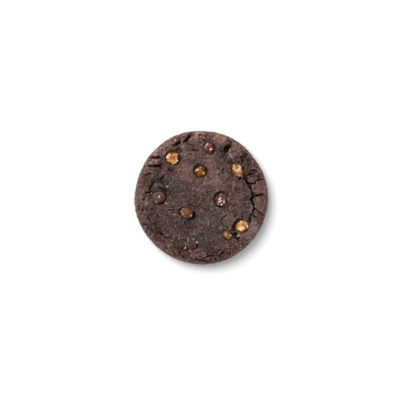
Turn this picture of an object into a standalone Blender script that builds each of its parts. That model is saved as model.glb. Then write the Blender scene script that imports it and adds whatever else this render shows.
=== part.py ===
"""Salted caramel brownie cookie: a thick round baked cookie with cracks round its rim, and five
caramel chips and five chocolate chips set in its top, each in a socket of its own.

Metres, +Z up. The cookie lies on z = 0 with its middle at the origin. +X is right and +Y is up in
a view from straight above. The lists of chips, cracks, lumps and pits are in millimetres.
"""

import math
from bisect import bisect_right
from typing import NamedTuple

import bmesh
import bpy
from mathutils import Matrix, Vector, noise

MM = 0.001

# The turned form: its widest radius, the foot it lies on, and the rim round its flatter middle.
RADIUS = 42.5 * MM
WIDEST_HEIGHT = 5.0 * MM
FOOT_RADIUS = 40.4 * MM
CREST_RADIUS = 0.87 * RADIUS
CREST_HEIGHT = 14.0 * MM
MIDDLE_HEIGHT = 12.7 * MM
MIDDLE_RADIUS = 0.45 * RADIUS

# The shallow seam between the middle and the rim.
SEAM_RADIUS = 0.755 * RADIUS
SEAM_WIDTH = 2.2 * MM
SEAM_DEPTH = 0.45 * MM

# Slow waves of the outline: how many go round, their share of the radius, their turn in degrees.
OUTLINE_WAVES = (
    (2, 0.0034, -121),
    (3, 0.0022, -99),
    (4, 0.0040, 41),
    (5, 0.0024, -75),
    (6, 0.0015, 24),
    (8, 0.0016, 112),
)

# Unevenness of the crust, as (size of a bump, height). It is less on the side, whose outline has
# its own waves, and it fades out above the foot.
SWELLS = (11.0 * MM, 0.50 * MM)
WRINKLES = (3.6 * MM, 0.34 * MM)
SIDE_SHARE = 0.35
FADE_HEIGHT = 1.5 * MM

# The mesh: rings of triangles from the middle of the top to the foot, and steps of the profile.
RINGS = 40
PROFILE_STEPS = 60

# A vertex this near to a crack's line moves on to it, and one a little further off moves to the
# crack's lip, so that the groove keeps a sharp bottom and sharp edges.
DRAW_IN = 0.54 * MM
LEAST_HALF_WIDTH = 0.95 * MM
CRACK_END = 2.5 * MM

# Chips: their thickness, the free space round them, and how uneven they are.
CHIP_HALF_HEIGHT = 2.4 * MM
CHIP_SIDES = 14
CHIP_RINGS = 8
CHIP_FULLNESS = 0.72
CHIP_UNEVENNESS = 0.15
CHIP_BUMP_SIZE = 0.9
CHIP_POLE = 0.01
SOCKET_GAP = 0.4 * MM
SOCKET_RISE = 6.0 * MM

SIXTH_TURN = math.pi / 3
SMOOTH_LIMIT = math.radians(50)


class Crack(NamedTuple):
    """A groove along a route, with its half width and depth. A soft valley is a wide crack."""

    half_width: float
    depth: float
    route: tuple


class Mound(NamedTuple):
    """A round rise of the crust, or a pit where the height is below zero."""

    x: float
    y: float
    radius: float
    height: float


class Chip(NamedTuple):
    """A chip: half its length and breadth where it comes out of the crust, the turn of its length
    in degrees, and how far its crown stands above the crust."""

    x: float
    y: float
    half_length: float
    half_breadth: float
    turn: float
    stand: float


CRACKS = (
    # The long fissure inside the rim on the right, from one caramel chip down to another.
    Crack(0.75, 2.6, ((27.8, 16.6), (28.2, 13.4), (29.2, 10.3), (31.6, 8.4), (31.6, 6.2), (32.2, 3.6))),
    Crack(0.75, 2.6, ((32.2, 3.6), (33.0, 1.8), (31.9, -1.2), (33.0, -4.7), (33.5, -7.0))),
    Crack(0.65, 2.0, ((33.5, -7.0), (32.2, -9.0), (31.2, -13.0), (30.6, -15.6))),
    # Splits from that fissure out across the rim.
    Crack(0.40, 1.2, ((31.6, 8.8), (34.6, 9.3), (35.0, 11.2), (39.6, 11.2))),
    Crack(0.40, 1.2, ((34.4, 1.2), (36.8, 1.8), (39.0, 2.0))),
    Crack(0.45, 1.3, ((33.6, -6.4), (36.2, -8.6), (40.0, -11.6))),
    Crack(0.35, 0.8, ((32.2, -10.8), (34.7, -13.0))),
    # Above the lump at the upper right.
    Crack(0.45, 1.4, ((17.6, 33.0), (18.8, 35.8), (20.4, 34.8))),
    # Top left.
    Crack(0.65, 2.0, ((-6.9, 40.2), (-8.6, 37.6), (-10.9, 35.2))),
    Crack(0.65, 2.0, ((-13.2, 35.6), (-15.4, 34.2), (-16.8, 33.4), (-18.0, 31.4))),
    Crack(0.35, 0.8, ((-8.4, 30.3), (-5.4, 30.1), (-2.4, 30.0))),
    # Left.
    Crack(0.40, 1.2, ((-31.2, 25.6), (-27.4, 25.6))),
    Crack(0.45, 1.3, ((-35.8, 19.9), (-30.6, 20.3), (-27.0, 20.2), (-25.8, 18.8))),
    Crack(0.35, 0.9, ((-37.2, 14.6), (-34.6, 15.6), (-32.4, 16.4))),
    Crack(0.50, 1.3, ((-24.3, 13.8), (-26.3, 11.4))),
    Crack(0.60, 1.8, ((-30.6, 10.2), (-31.6, 8.6), (-32.8, 5.2))),
    Crack(0.35, 1.0, ((-36.6, 2.8), (-33.4, 3.2), (-31.6, 1.6))),
    # Lower left, along the inside of the rim.
    Crack(0.40, 0.8, ((-33.6, -11.6), (-32.8, -14.0), (-31.9, -16.0))),
    Crack(0.55, 1.2, ((-28.8, -17.4), (-27.9, -19.6), (-25.4, -22.8), (-22.6, -25.0), (-18.5, -25.4))),
    # Bottom.
    Crack(0.55, 1.5, ((-3.4, -39.2), (0.0, -40.0), (4.4, -41.0))),
    Crack(0.35, 0.9, ((1.2, -38.6), (3.6, -37.1), (7.4, -36.4))),
    Crack(0.45, 1.3, ((13.8, -34.6), (11.2, -37.0))),
    Crack(0.35, 0.8, ((9.0, -38.8), (9.0, -41.0))),
    # Lower right, round the bright caramel chip and round the flat lump.
    Crack(0.45, 1.4, ((25.4, -14.0), (22.6, -15.0), (21.2, -17.4), (20.8, -20.6), (21.4, -22.4))),
    Crack(0.35, 0.8, ((14.4, -10.6), (12.9, -13.4), (13.6, -16.2), (15.8, -18.6))),
)

VALLEYS = (
    # Round the lower side of the lump at the upper right.
    Crack(2.4, 0.9, ((16.3, 31.5), (13.8, 28.7), (14.8, 25.4), (18.2, 23.2), (20.8, 22.2))),
    # Along the inside of the rim at the lower left.
    Crack(2.2, 0.7, ((-33.4, -10.0), (-32.3, -14.6), (-28.5, -19.0), (-25.0, -23.4), (-19.4, -25.6))),
    # Along the inside of the rim at the left and the top left.
    Crack(2.0, 0.7, ((-32.4, 3.2), (-31.2, 9.4), (-28.0, 12.2), (-25.2, 14.4), (-24.6, 20.6))),
)

MOUNDS = (
    # The dough-covered lump at the upper right, with the long hole beside it.
    Mound(22.2, 29.3, 5.4, 1.3),
    Mound(16.0, 30.8, 2.0, -2.8),
    Mound(17.3, 32.5, 2.0, -2.8),
    # The ball where the long fissure forks, and lower lumps of the crust.
    Mound(32.2, 11.6, 3.0, 0.9),
    Mound(-29.6, -13.0, 4.4, 0.55),
    Mound(16.9, -13.9, 4.0, 0.4),
    Mound(-29.5, 22.8, 4.2, 0.45),
    # The pit between the two caramel chips at the lower right.
    Mound(23.2, -25.0, 2.4, -1.8),
)

CARAMEL_CHIPS = (
    Chip(-18.4, 25.3, 4.4, 4.2, 90, 1.0),
    Chip(-0.6, 16.8, 3.7, 3.4, 0, 0.1),
    Chip(23.1, 17.6, 4.5, 3.2, 118, 0.8),
    Chip(26.1, -18.2, 4.0, 3.9, 30, 1.0),
    Chip(16.9, -24.2, 2.9, 2.7, -40, 0.4),
)

CHOCOLATE_CHIPS = (
    Chip(4.9, 31.5, 3.5, 3.3, 60, 1.0),
    Chip(-27.5, 0.2, 4.7, 4.3, 20, 0.8),
    Chip(-9.8, -9.9, 4.8, 3.8, -8, 1.4),
    Chip(12.5, -1.1, 4.6, 4.3, 100, 0.9),
    Chip(-6.3, -30.2, 5.0, 3.3, 12, 0.3),
)


def smooth_step(share):
    """0 up to 0, 1 from 1 on, and an even S-curve between."""
    share = min(max(share, 0.0), 1.0)
    return share * share * (3.0 - 2.0 * share)


def top_height(radius):
    """Height of the turned form's top, from its flatter middle out to the rim's crest."""
    climb = smooth_step((radius - MIDDLE_RADIUS) / (CREST_RADIUS - MIDDLE_RADIUS))
    seam = SEAM_DEPTH * math.exp(-(((radius - SEAM_RADIUS) / SEAM_WIDTH) ** 2))
    return MIDDLE_HEIGHT + (CREST_HEIGHT - MIDDLE_HEIGHT) * climb - seam


def profile_points():
    """(radius, height) from the middle of the top over the shoulder and down to the foot."""
    points = []
    for step in range(PROFILE_STEPS):
        radius = CREST_RADIUS * step / PROFILE_STEPS
        points.append((radius, top_height(radius)))
    for step in range(PROFILE_STEPS):
        angle = math.pi / 2 * step / PROFILE_STEPS
        out = (RADIUS - CREST_RADIUS) * math.sin(angle)
        up = (CREST_HEIGHT - WIDEST_HEIGHT) * math.cos(angle)
        points.append((CREST_RADIUS + out, WIDEST_HEIGHT + up))
    for step in range(PROFILE_STEPS + 1):
        angle = math.pi / 2 * step / PROFILE_STEPS
        out = (RADIUS - FOOT_RADIUS) * math.cos(angle)
        points.append((FOOT_RADIUS + out, WIDEST_HEIGHT * (1.0 - math.sin(angle))))
    return points


PROFILE = profile_points()


def profile_runs():
    """How long the profile is from the middle of the top to each of its points."""
    runs = [0.0]
    for (radius_a, height_a), (radius_b, height_b) in zip(PROFILE, PROFILE[1:]):
        runs.append(runs[-1] + math.hypot(radius_b - radius_a, height_b - height_a))
    return runs


RUNS = profile_runs()


def on_profile(run):
    """Radius and height at a run along the profile, and its outward direction in that plane."""
    step = min(max(bisect_right(RUNS, run) - 1, 0), len(RUNS) - 2)
    share = (run - RUNS[step]) / (RUNS[step + 1] - RUNS[step])
    start = Vector(PROFILE[step])
    along = Vector(PROFILE[step + 1]) - start
    radius, height = start + along * share
    along.normalize()
    return radius, height, Vector((-along.y, along.x))


def spot_above(x, y):
    """The spot of the unrolled surface that lies at (x, y) in a view from above."""
    radius = math.hypot(x, y)
    upper = [point[0] for point in PROFILE[: 2 * PROFILE_STEPS]]
    step = min(bisect_right(upper, radius), len(upper) - 1)
    share = (radius - upper[step - 1]) / (upper[step] - upper[step - 1])
    run = RUNS[step - 1] + (RUNS[step] - RUNS[step - 1]) * share
    return Vector((x, y)) * (run / radius)


def outline(angle):
    """Radius of the outline in a direction, as a share of its mean."""
    radius = 1.0
    for count, share, turn in OUTLINE_WAVES:
        radius += share * math.cos(count * angle - math.radians(turn))
    return radius


def nearest_on_route(spot, route):
    """The point of a route that is nearest to a spot."""
    nearest = None
    for start, end in zip(route, route[1:]):
        along = end - start
        share = min(max((spot - start).dot(along) / along.length_squared, 0.0), 1.0)
        point = start + along * share
        if nearest is None or (spot - point).length < (spot - nearest).length:
            nearest = point
    return nearest


def unrolled(crack):
    """A crack in metres, with its route on the unrolled surface."""
    route = [spot_above(x * MM, y * MM) for x, y in crack.route]
    return Crack(max(crack.half_width * MM, LEAST_HALF_WIDTH), crack.depth * MM, route)


UNROLLED_CRACKS = [unrolled(crack) for crack in CRACKS]
UNROLLED_VALLEYS = [unrolled(valley) for valley in VALLEYS]
UNROLLED_MOUNDS = [(spot_above(m.x * MM, m.y * MM), m.radius * MM, m.height * MM) for m in MOUNDS]


def drawn_to_cracks(spot):
    """The spot, moved to the bottom or to the lip of a crack that it is very near."""
    for crack in UNROLLED_CRACKS:
        point = nearest_on_route(spot, crack.route)
        gap = (spot - point).length
        if gap < DRAW_IN:
            return point
        if gap < crack.half_width:
            return point + (spot - point) * (crack.half_width / gap)
    return spot


def crack_depth(spot):
    """Depth of the deepest crack at a spot. A crack is shallower towards its ends."""
    deepest = 0.0
    for crack in UNROLLED_CRACKS + UNROLLED_VALLEYS:
        point = nearest_on_route(spot, crack.route)
        across = (spot - point).length / crack.half_width
        if across < 1.0:
            to_end = min((point - crack.route[0]).length, (point - crack.route[-1]).length)
            end = 0.35 + 0.65 * smooth_step(to_end / CRACK_END)
            deepest = max(deepest, crack.depth * end * (1.0 - across * across) ** 2)
    return deepest


def mound_height(spot):
    """Rise of the lumps at a spot, less the depth of the pits."""
    height = 0.0
    for middle, radius, rise in UNROLLED_MOUNDS:
        across = (spot - middle).length / radius
        if across < 1.0:
            height += rise * (1.0 - across * across) ** 2
    return height


def crust_point(spot):
    """The point of the crust for a spot of the unrolled surface."""
    angle = math.atan2(spot.y, spot.x)
    radius, height, out = on_profile(spot.length)
    radius *= outline(angle)
    point = Vector((radius * math.cos(angle), radius * math.sin(angle), height))
    outward = Vector((out.x * math.cos(angle), out.x * math.sin(angle), out.y))
    uneven = SIDE_SHARE + (1.0 - SIDE_SHARE) * max(out.y, 0.0)
    relief = mound_height(spot) - crack_depth(spot)
    for size, rise in (SWELLS, WRINKLES):
        relief += rise * uneven * noise.noise(point / size)
    return point + outward * relief * smooth_step(height / FADE_HEIGHT)


def unroll_hexagon(corner):
    """The spot for a vertex of the flat unit hexagon of triangles, whose rings become circles. The
    hexagon has a corner on the X axis."""
    if corner.length == 0.0:
        return Vector((0.0, 0.0))
    angle = math.atan2(corner.y, corner.x) % (2 * math.pi)
    sector = math.floor(angle / SIXTH_TURN)
    lean = angle - sector * SIXTH_TURN
    ring = corner.length * (math.cos(lean) + math.sin(lean) / math.sqrt(3))
    share = 2.0 * corner.length * math.sin(lean) / (math.sqrt(3) * ring)
    turn = (sector + share) * SIXTH_TURN
    return Vector((math.cos(turn), math.sin(turn))) * ring * RUNS[-1]


def plain_material(name, colour, roughness):
    """A material with one colour and roughness, not metallic."""
    material = bpy.data.materials.new(name)
    material.use_nodes = True
    shader = material.node_tree.nodes["Principled BSDF"]
    shader.inputs["Base Color"].default_value = (*colour, 1.0)
    shader.inputs["Roughness"].default_value = roughness
    shader.inputs["Metallic"].default_value = 0.0
    material.diffuse_color = (*colour, 1.0)
    return material


def add_object(name, bm, material):
    """An object from a finished bmesh, shaded smooth, in the scene's own collection."""
    mesh = bpy.data.meshes.new(name)
    bm.to_mesh(mesh)
    bm.free()
    mesh.materials.append(material)
    mesh.shade_smooth()
    mesh.set_sharp_from_angle(angle=SMOOTH_LIMIT)
    piece = bpy.data.objects.new(name, mesh)
    bpy.context.scene.collection.objects.link(piece)
    return piece


def make_cookie():
    """The baked dough: a disc of triangles laid over the crust and closed by a flat base."""
    bm = bmesh.new()
    corner_on_x = Matrix.Rotation(math.pi / 2, 4, "Z")
    bmesh.ops.create_circle(bm, cap_ends=True, cap_tris=True, segments=6, radius=1.0, matrix=corner_on_x)
    bmesh.ops.subdivide_edges(bm, edges=bm.edges[:], cuts=RINGS - 1, use_grid_fill=True)
    for vertex in bm.verts:
        vertex.co = crust_point(drawn_to_cracks(unroll_hexagon(vertex.co)))
    foot = [edge for edge in bm.edges if edge.is_boundary]
    bmesh.ops.edgeloop_fill(bm, edges=foot)
    bmesh.ops.recalc_face_normals(bm, faces=bm.faces[:])
    dough = plain_material("baked dough", (0.105, 0.066, 0.056), 0.65)
    return add_object("cookie", bm, dough)


def chip_bmesh(chip, grow):
    """A squat uneven drop set into the crust at the chip's place, larger all round by grow."""
    sizes = (chip.half_length * MM, chip.half_breadth * MM, CHIP_HALF_HEIGHT)
    turn = math.radians(chip.turn)
    bm = bmesh.new()
    bmesh.ops.create_uvsphere(bm, u_segments=CHIP_SIDES, v_segments=CHIP_RINGS, radius=1.0)
    for vertex in bm.verts:
        bump = noise.noise(vertex.co / CHIP_BUMP_SIZE + Vector((chip.x, chip.y, 0.0)))
        reach = max(math.hypot(vertex.co.x, vertex.co.y), CHIP_POLE)
        full = reach ** (CHIP_FULLNESS - 1.0)
        form = Vector((vertex.co.x * full, vertex.co.y * full, vertex.co.z))
        form *= 1.0 + CHIP_UNEVENNESS * bump
        vertex.co = [share * (size + grow) for share, size in zip(form, sizes)]
    bmesh.ops.rotate(bm, verts=bm.verts[:], matrix=Matrix.Rotation(turn, 3, "Z"))
    bmesh.ops.translate(bm, verts=bm.verts[:], vec=chip_middle(chip))
    return bm


def chip_middle(chip):
    """The middle of a chip: its crown stands above the crust by the chip's stand."""
    crust = crust_point(spot_above(chip.x * MM, chip.y * MM))
    return Vector((chip.x * MM, chip.y * MM, crust.z + chip.stand * MM - CHIP_HALF_HEIGHT))


def socket_bmesh(chip):
    """The free space for a chip: its lower half a gap larger, and open straight up."""
    middle = chip_middle(chip)
    bm = chip_bmesh(chip, SOCKET_GAP)
    whole = bm.verts[:] + bm.edges[:] + bm.faces[:]
    bmesh.ops.bisect_plane(bm, geom=whole, plane_co=middle, plane_no=(0, 0, 1), clear_outer=True)
    rim = [edge for edge in bm.edges if edge.is_boundary]
    raised = bmesh.ops.extrude_edge_only(bm, edges=rim)["geom"]
    top = [item for item in raised if isinstance(item, bmesh.types.BMVert)]
    bmesh.ops.translate(bm, verts=top, vec=(0.0, 0.0, SOCKET_RISE))
    bmesh.ops.edgeloop_fill(bm, edges=[edge for edge in bm.edges if edge.is_boundary])
    bmesh.ops.recalc_face_normals(bm, faces=bm.faces[:])
    return bm


def make_chips(kind, chips, material, cutters):
    """One object for each chip, and a cutter for its socket in the cutters' collection."""
    for number, chip in enumerate(chips, start=1):
        name = f"{kind}_chip_{number}"
        add_object(name, chip_bmesh(chip, 0.0), material)
        cutter = add_object(f"socket_of_{name}", socket_bmesh(chip), material)
        cutter.hide_render = True
        cutter.display_type = "WIRE"
        bpy.context.scene.collection.objects.unlink(cutter)
        cutters.objects.link(cutter)


def cut_sockets(cookie, cutters):
    """Cut every chip's socket out of the cookie."""
    cut = cookie.modifiers.new("sockets", "BOOLEAN")
    cut.operation = "DIFFERENCE"
    cut.operand_type = "COLLECTION"
    cut.collection = cutters
    cut.solver = "EXACT"


def main():
    for leftover in list(bpy.data.objects):
        bpy.data.objects.remove(leftover, do_unlink=True)
    cutters = bpy.data.collections.new("socket cutters")
    bpy.context.scene.collection.children.link(cutters)
    cookie = make_cookie()
    caramel = plain_material("caramel", (0.50, 0.25, 0.10), 0.30)
    chocolate = plain_material("chocolate", (0.10, 0.050, 0.038), 0.35)
    make_chips("caramel", CARAMEL_CHIPS, caramel, cutters)
    make_chips("chocolate", CHOCOLATE_CHIPS, chocolate, cutters)
    cut_sockets(cookie, cutters)


main()
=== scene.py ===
import math
from bisect import bisect_right
from typing import NamedTuple

import bmesh
import bpy
from mathutils import Matrix, Vector, noise


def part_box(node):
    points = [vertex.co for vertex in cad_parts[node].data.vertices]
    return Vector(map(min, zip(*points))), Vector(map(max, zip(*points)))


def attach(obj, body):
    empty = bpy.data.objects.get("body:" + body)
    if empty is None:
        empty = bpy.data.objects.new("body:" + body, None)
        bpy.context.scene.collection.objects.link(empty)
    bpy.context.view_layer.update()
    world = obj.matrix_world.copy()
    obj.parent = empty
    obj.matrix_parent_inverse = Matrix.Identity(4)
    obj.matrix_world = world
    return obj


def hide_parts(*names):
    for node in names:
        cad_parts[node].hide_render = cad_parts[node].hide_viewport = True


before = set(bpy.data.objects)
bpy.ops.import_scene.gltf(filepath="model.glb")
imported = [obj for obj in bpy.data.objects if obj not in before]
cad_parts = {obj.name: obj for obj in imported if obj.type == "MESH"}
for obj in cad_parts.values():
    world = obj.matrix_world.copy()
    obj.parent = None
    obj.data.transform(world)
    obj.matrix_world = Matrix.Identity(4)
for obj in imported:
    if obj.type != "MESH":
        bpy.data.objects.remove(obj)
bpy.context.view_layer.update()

# The looks of a salted caramel brownie cookie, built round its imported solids: a crust with all its
# relief, five caramel chips and five chocolate chips.
#
# Metres, +Z up. The cookie lies on z = 0 with its middle at the origin, and +Y is up in the view
# from straight above. The crust and the chips take the solids' own form and add the finer relief.
# The lists of cracks, spots and chips are in millimetres and degrees.

MM = 0.001

# Without a seed of its own, noise_vector would wander another way each run.
NOISE_SEED = 7
noise.seed_set(NOISE_SEED)

# ------------------------------------------------------------------ the turned form
RADIUS = 42.5 * MM
WIDEST_HEIGHT = 5.0 * MM
FOOT_RADIUS = 40.4 * MM
CREST_RADIUS = 0.87 * RADIUS
CREST_HEIGHT = 14.0 * MM
MIDDLE_HEIGHT = 12.7 * MM
MIDDLE_RADIUS = 0.45 * RADIUS
SEAM_RADIUS = 0.755 * RADIUS
SEAM_WIDTH = 2.2 * MM
SEAM_DEPTH = 0.45 * MM
PROFILE_STEPS = 60

# Slow waves of the outline: how many go round, their share of the radius, their turn.
OUTLINE_WAVES = (
    (2, 0.0034, -121), (3, 0.0022, -99), (4, 0.0040, 41),
    (5, 0.0024, -75), (6, 0.0015, 24), (8, 0.0016, 112),
)

# Unevenness as in the solids, less on the side and none at the foot. Bumps are given by their size
# and their rise, and a wobble by its size and how far it shifts a point.
SWELLS = (11.0 * MM, 0.50 * MM)
WRINKLES = (3.6 * MM, 0.34 * MM)
SIDE_SHARE = 0.35
FADE_HEIGHT = 1.5 * MM

# ------------------------------------------------------------------ the crust's finer relief
# Folds parted by narrow creases, crumb, and small pits in some of the cells of a loose pattern.
FOLD_SIZE = 1.9 * MM
FOLD_WOBBLE = (2.2 * FOLD_SIZE, 1.6 * MM)
FOLD_STRENGTH = 0.55
FOLD_SWELL = (3.0 * FOLD_SIZE, 0.45)
CREASE_DEPTH = 0.54 * MM
CREASE_WIDTH = 0.12
LUMPS = (1.9 * MM, 0.38 * MM)
CRUMB = (0.70 * MM, 0.38 * MM)
PIT_SPACING = 2.6 * MM
PIT_RADIUS = 0.60 * MM
PIT_DEPTH = 0.70 * MM
PIT_SHARE = 0.45
PIT_PICK = 7.3
SIDE_ROUGHNESS = 0.4
RIM_ROUGHNESS = 0.7

# Dents of the finer relief get painted shade and its ridges painted light, by this much tone in a
# millimetre.
RELIEF_SHADE_AND_LIGHT = 0.85

# The rim's own colour begins here, as a share of the radius, and its outermost edge is paler still,
# partly as painted light from the table's bounce and the sheen at the curve and partly as a paler
# baked side.
RIM_START = 0.80
RIM_END = 0.93
EDGE_START = 0.90
EDGE_PALENESS_AND_LIGHT = 0.44

# Mesh: rings of triangles, how many of them lie on the top, and the base's rings and relief.
RINGS = 168
TOP_RINGS = 131
BASE_RINGS = 56
BASE_SHARE = 0.985
BASE_RELIEF = (1.6 * MM, 0.25 * MM)

# Cracks wander off their routes, are wider in some places, and shallower towards their ends, where
# this share of the depth is left. Across a crack, its floor is as flat and its walls as steep as
# the two powers make them.
CRACK_WOBBLE = (2.0 * MM, 0.5 * MM)
CRACK_SWELL = (2.4 * MM, 0.5)
CRACK_SPREAD = 1.25
CRACK_END = 2.5 * MM
CRACK_END_SHARE = 0.35
CRACK_FLOOR = 3
CRACK_WALL = 1.5

# A crack as deep as this has its full painted shade.
CRACK_SHADE = 0.8 * MM

# The raised lip beside a crack: how far out it reaches, in half widths, its height and its painted
# highlight.
LIP_REACH = 2.4
CRACK_LIP = 0.18 * MM
CRACK_LIP_HIGHLIGHT = 0.14

# How far small spots are drawn out of round and spread, how much of a spot has its full tone, and
# how high a spot of tone 1 is, on the crust and on a chip.
SPOT_WOBBLE = (1.1 * MM, 0.45 * MM)
SPOT_SPREAD = 1.25
SPOT_CORE = 1.9
SPOT_RISE = 0.6 * MM
CHIP_SPOT_RISE = 0.45 * MM

# How steep the side of a round lump is, and the edges of smooth patches and of the patches of baking
# colour and painted light.
DOME_POWER = 0.7
SMOOTH_EDGE = 2.0
BAKE_AND_LIGHT_EDGE = 1.4

# Long folds: their length in widths, and the width and depth of the crease beside a fold.
STREAK_LENGTH = 4.5
STREAK_CREASE = (0.16, 1.3)

# Grooves and patches are looked up in square cells of this size.
CELL = 4.0 * MM


class Spot(NamedTuple):
    """A round bump or dent. Its tone goes from -1, the darkest, through 0 to 1, the palest: below
    zero burnt and dark flecks together with painted shade in the dents, above zero pale flecks
    together with painted highlights on the bumps. Pale spots are bumps and dark ones dents, and an
    extra height comes on top."""

    x: float
    y: float
    radius: float
    tone: float
    extra: float = 0.0


# Each groove: its half width, its depth, then x and y of every point of its route. A ridge is a
# groove turned over, a soft valley a wide groove.
CRACKS = (
    # The long fissure inside the rim on the right, from one caramel chip down to another.
    (1, 0.8, 27.2, 17, 27.7, 14.2, 28, 11.8, 29, 10.2),
    (0.6, 2.4, 28.2, 12.2, 29.2, 9.8, 30.2, 9, 31.6, 8.8),
    (0.5, 1.5, 30.6, 8.8, 31, 6.8, 31.8, 4.4), (0.6, 2.2, 31.6, 5, 31.9, 3.4, 33, 1.9),
    (0.58, 2.4, 33, 1.9, 32.6, 0.2, 31.8, -1.2, 32.6, -3.6),
    (0.66, 2.4, 32.6, -3.6, 33.3, -5.4, 33.7, -7.2, 33, -9),
    (0.56, 1.8, 32.5, -9.8, 31.3, -11.4, 30.9, -13.4, 30.5, -15.8),
    # Splits from that fissure out across the rim.
    (0.42, 1.6, 31.4, 8.9, 33.6, 8.8, 34.7, 9.6, 35, 11),
    (0.55, 1.4, 34.8, 10.7, 36.8, 11.2, 39.8, 11.4), (0.6, 2.2, 34, 0.9, 36.4, 1.7, 39.2, 2.2),
    (0.46, 0.9, 33.8, -6.6, 36.6, -9, 40.2, -11.9), (0.5, 1.2, 32.4, -10.6, 34.9, -13.2),
    # The long hole beside the lump at the upper right, and the split above it.
    (1.36, 3, 15.6, 30.1, 16.4, 31.2, 17.7, 32.8), (0.5, 1.2, 18.2, 34.2, 19, 35.6, 17.4, 37.2),
    # Top left.
    (1.22, 2.6, -6.9, 40.7, -8, 38.7, -9.2, 36.7), (0.9, 2.3, -8.4, 37.1, -9.6, 36.2, -10.9, 35.3),
    (1.15, 2.6, -13.3, 35.6, -14.6, 34.4, -16.2, 33.5), (0.8, 0.8, -16.2, 33.2, -17.9, 32),
    (0.42, 0.9, -7.2, 29.9, -4.8, 30, -1.6, 29.8),
    # Left.
    (0.88, 2.4, -31.9, 25.9, -29.4, 25.6, -26.4, 25.8), (0.35, 1, -33.9, 25.2, -32.2, 25.6),
    (0.5, 1.8, -34.6, 19.8, -31.2, 20, -26.2, 20), (0.65, 1.9, -31.2, 20, -25.4, 20),
    (0.5, 2, -27, 19.9, -25, 21.2), (0.5, 2, -27, 20.1, -25.6, 18.4),
    (0.44, 1.1, -36.6, 14.5, -34.4, 15.3, -32.4, 16.1),
    (0.62, 1.8, -23.7, 14.2, -25.2, 12.6, -26.7, 11.2), (0.55, 2, -31, 9.2, -31.8, 7.2, -32.9, 5),
    (0.45, 0.6, -28.6, 11.6, -30.2, 10.4, -31, 9.4),
    (0.55, 1.3, -37, 2.7, -34.6, 3.2, -33, 3.2, -31.6, 4),
    # Lower left, along the inside of the rim.
    (0.6, 0.75, -33.9, -11, -33, -13.4, -31.9, -16.2),
    (0.42, 0.5, -27.6, -9, -27.4, -11.2, -26.6, -13.6),
    (0.65, 0.45, -29.6, -17.2, -28.5, -19.2, -26.9, -21.2),
    (0.8, 0.62, -27.3, -20.4, -25.3, -22.8, -23.4, -25),
    (0.66, 0.52, -24, -24.4, -22, -25.5, -18.6, -25.8),
    # Bottom.
    (1.05, 2.3, -3.4, -39.6, -0.4, -40.2, 4, -41.2),
    (0.45, 0.8, -8.2, -41, -4.8, -40.3, -2.4, -39.7),
    (0.48, 1.2, 1, -38.9, 3, -37.8, 5, -36.9, 7.8, -36.6),
    (0.7, 2.2, 14, -34.6, 12.8, -35.8, 11.4, -37.1), (0.55, 1.4, 9, -38.6, 9.2, -40.8),
    # Lower right, round the bright caramel chip, round the flat lump and round the darker chip.
    (0.62, 1.9, 25, -13.9, 23, -14.6, 21.9, -16.2),
    (0.95, 2.6, 22, -16.2, 21.1, -18.4, 20.9, -20.8),
    (0.55, 0.6, 18.2, -10.6, 15.4, -11.4, 13.6, -13.2, 12.9, -15.8),
    (0.35, 0.6, 12.9, -14.6, 13.6, -16.8, 15.6, -18.2), (0.5, 1.1, 15.8, -18.2, 16.9, -19.8),
    (0.45, 1.2, 15.4, -20.8, 13.2, -21.5, 11.9, -22.6),
    (0.42, 1.2, 18.2, -21, 19.4, -20.8, 20.6, -21.6),
    (0.7, 1.2, 20.8, -21.8, 21.6, -23.2, 21.8, -25.4), (0.75, 2.2, 22.8, -26.2, 24.3, -25.6),
    # Single dents.
    (0.8, 1.8, 24.4, 13.2, 24.9, 11.2), (0.55, 1.2, -9.5, -33.7, -7.7, -35.2),
    (0.55, 1.2, 15.6, -1.8, 16.4, -2.3), (0.85, 2.4, -26.7, 6.3, -25, 5.6),
    (0.75, 2.4, -23.5, 4.9, -22.4, 4.4), (0.6, 2.2, -4.3, 1.2, -3.8, 1),
    (0.55, 2.2, -32.7, 1.5, -32.1, 1.3), (0.5, 2.2, -36.5, -1.1, -36, -1.1),
    (0.55, 2.2, -0.7, -37.8, -0.2, -37.7), (0.55, 2.2, -6.7, -38.6, -6, -38.6),
    (0.55, 2.2, -11.9, -38.3, -11.3, -38.2), (0.8, 1.6, -35.9, -17.3, -34.8, -17.4),
    (0.55, 2, -18.8, 17.3, -18.1, 17.2),
)

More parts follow.
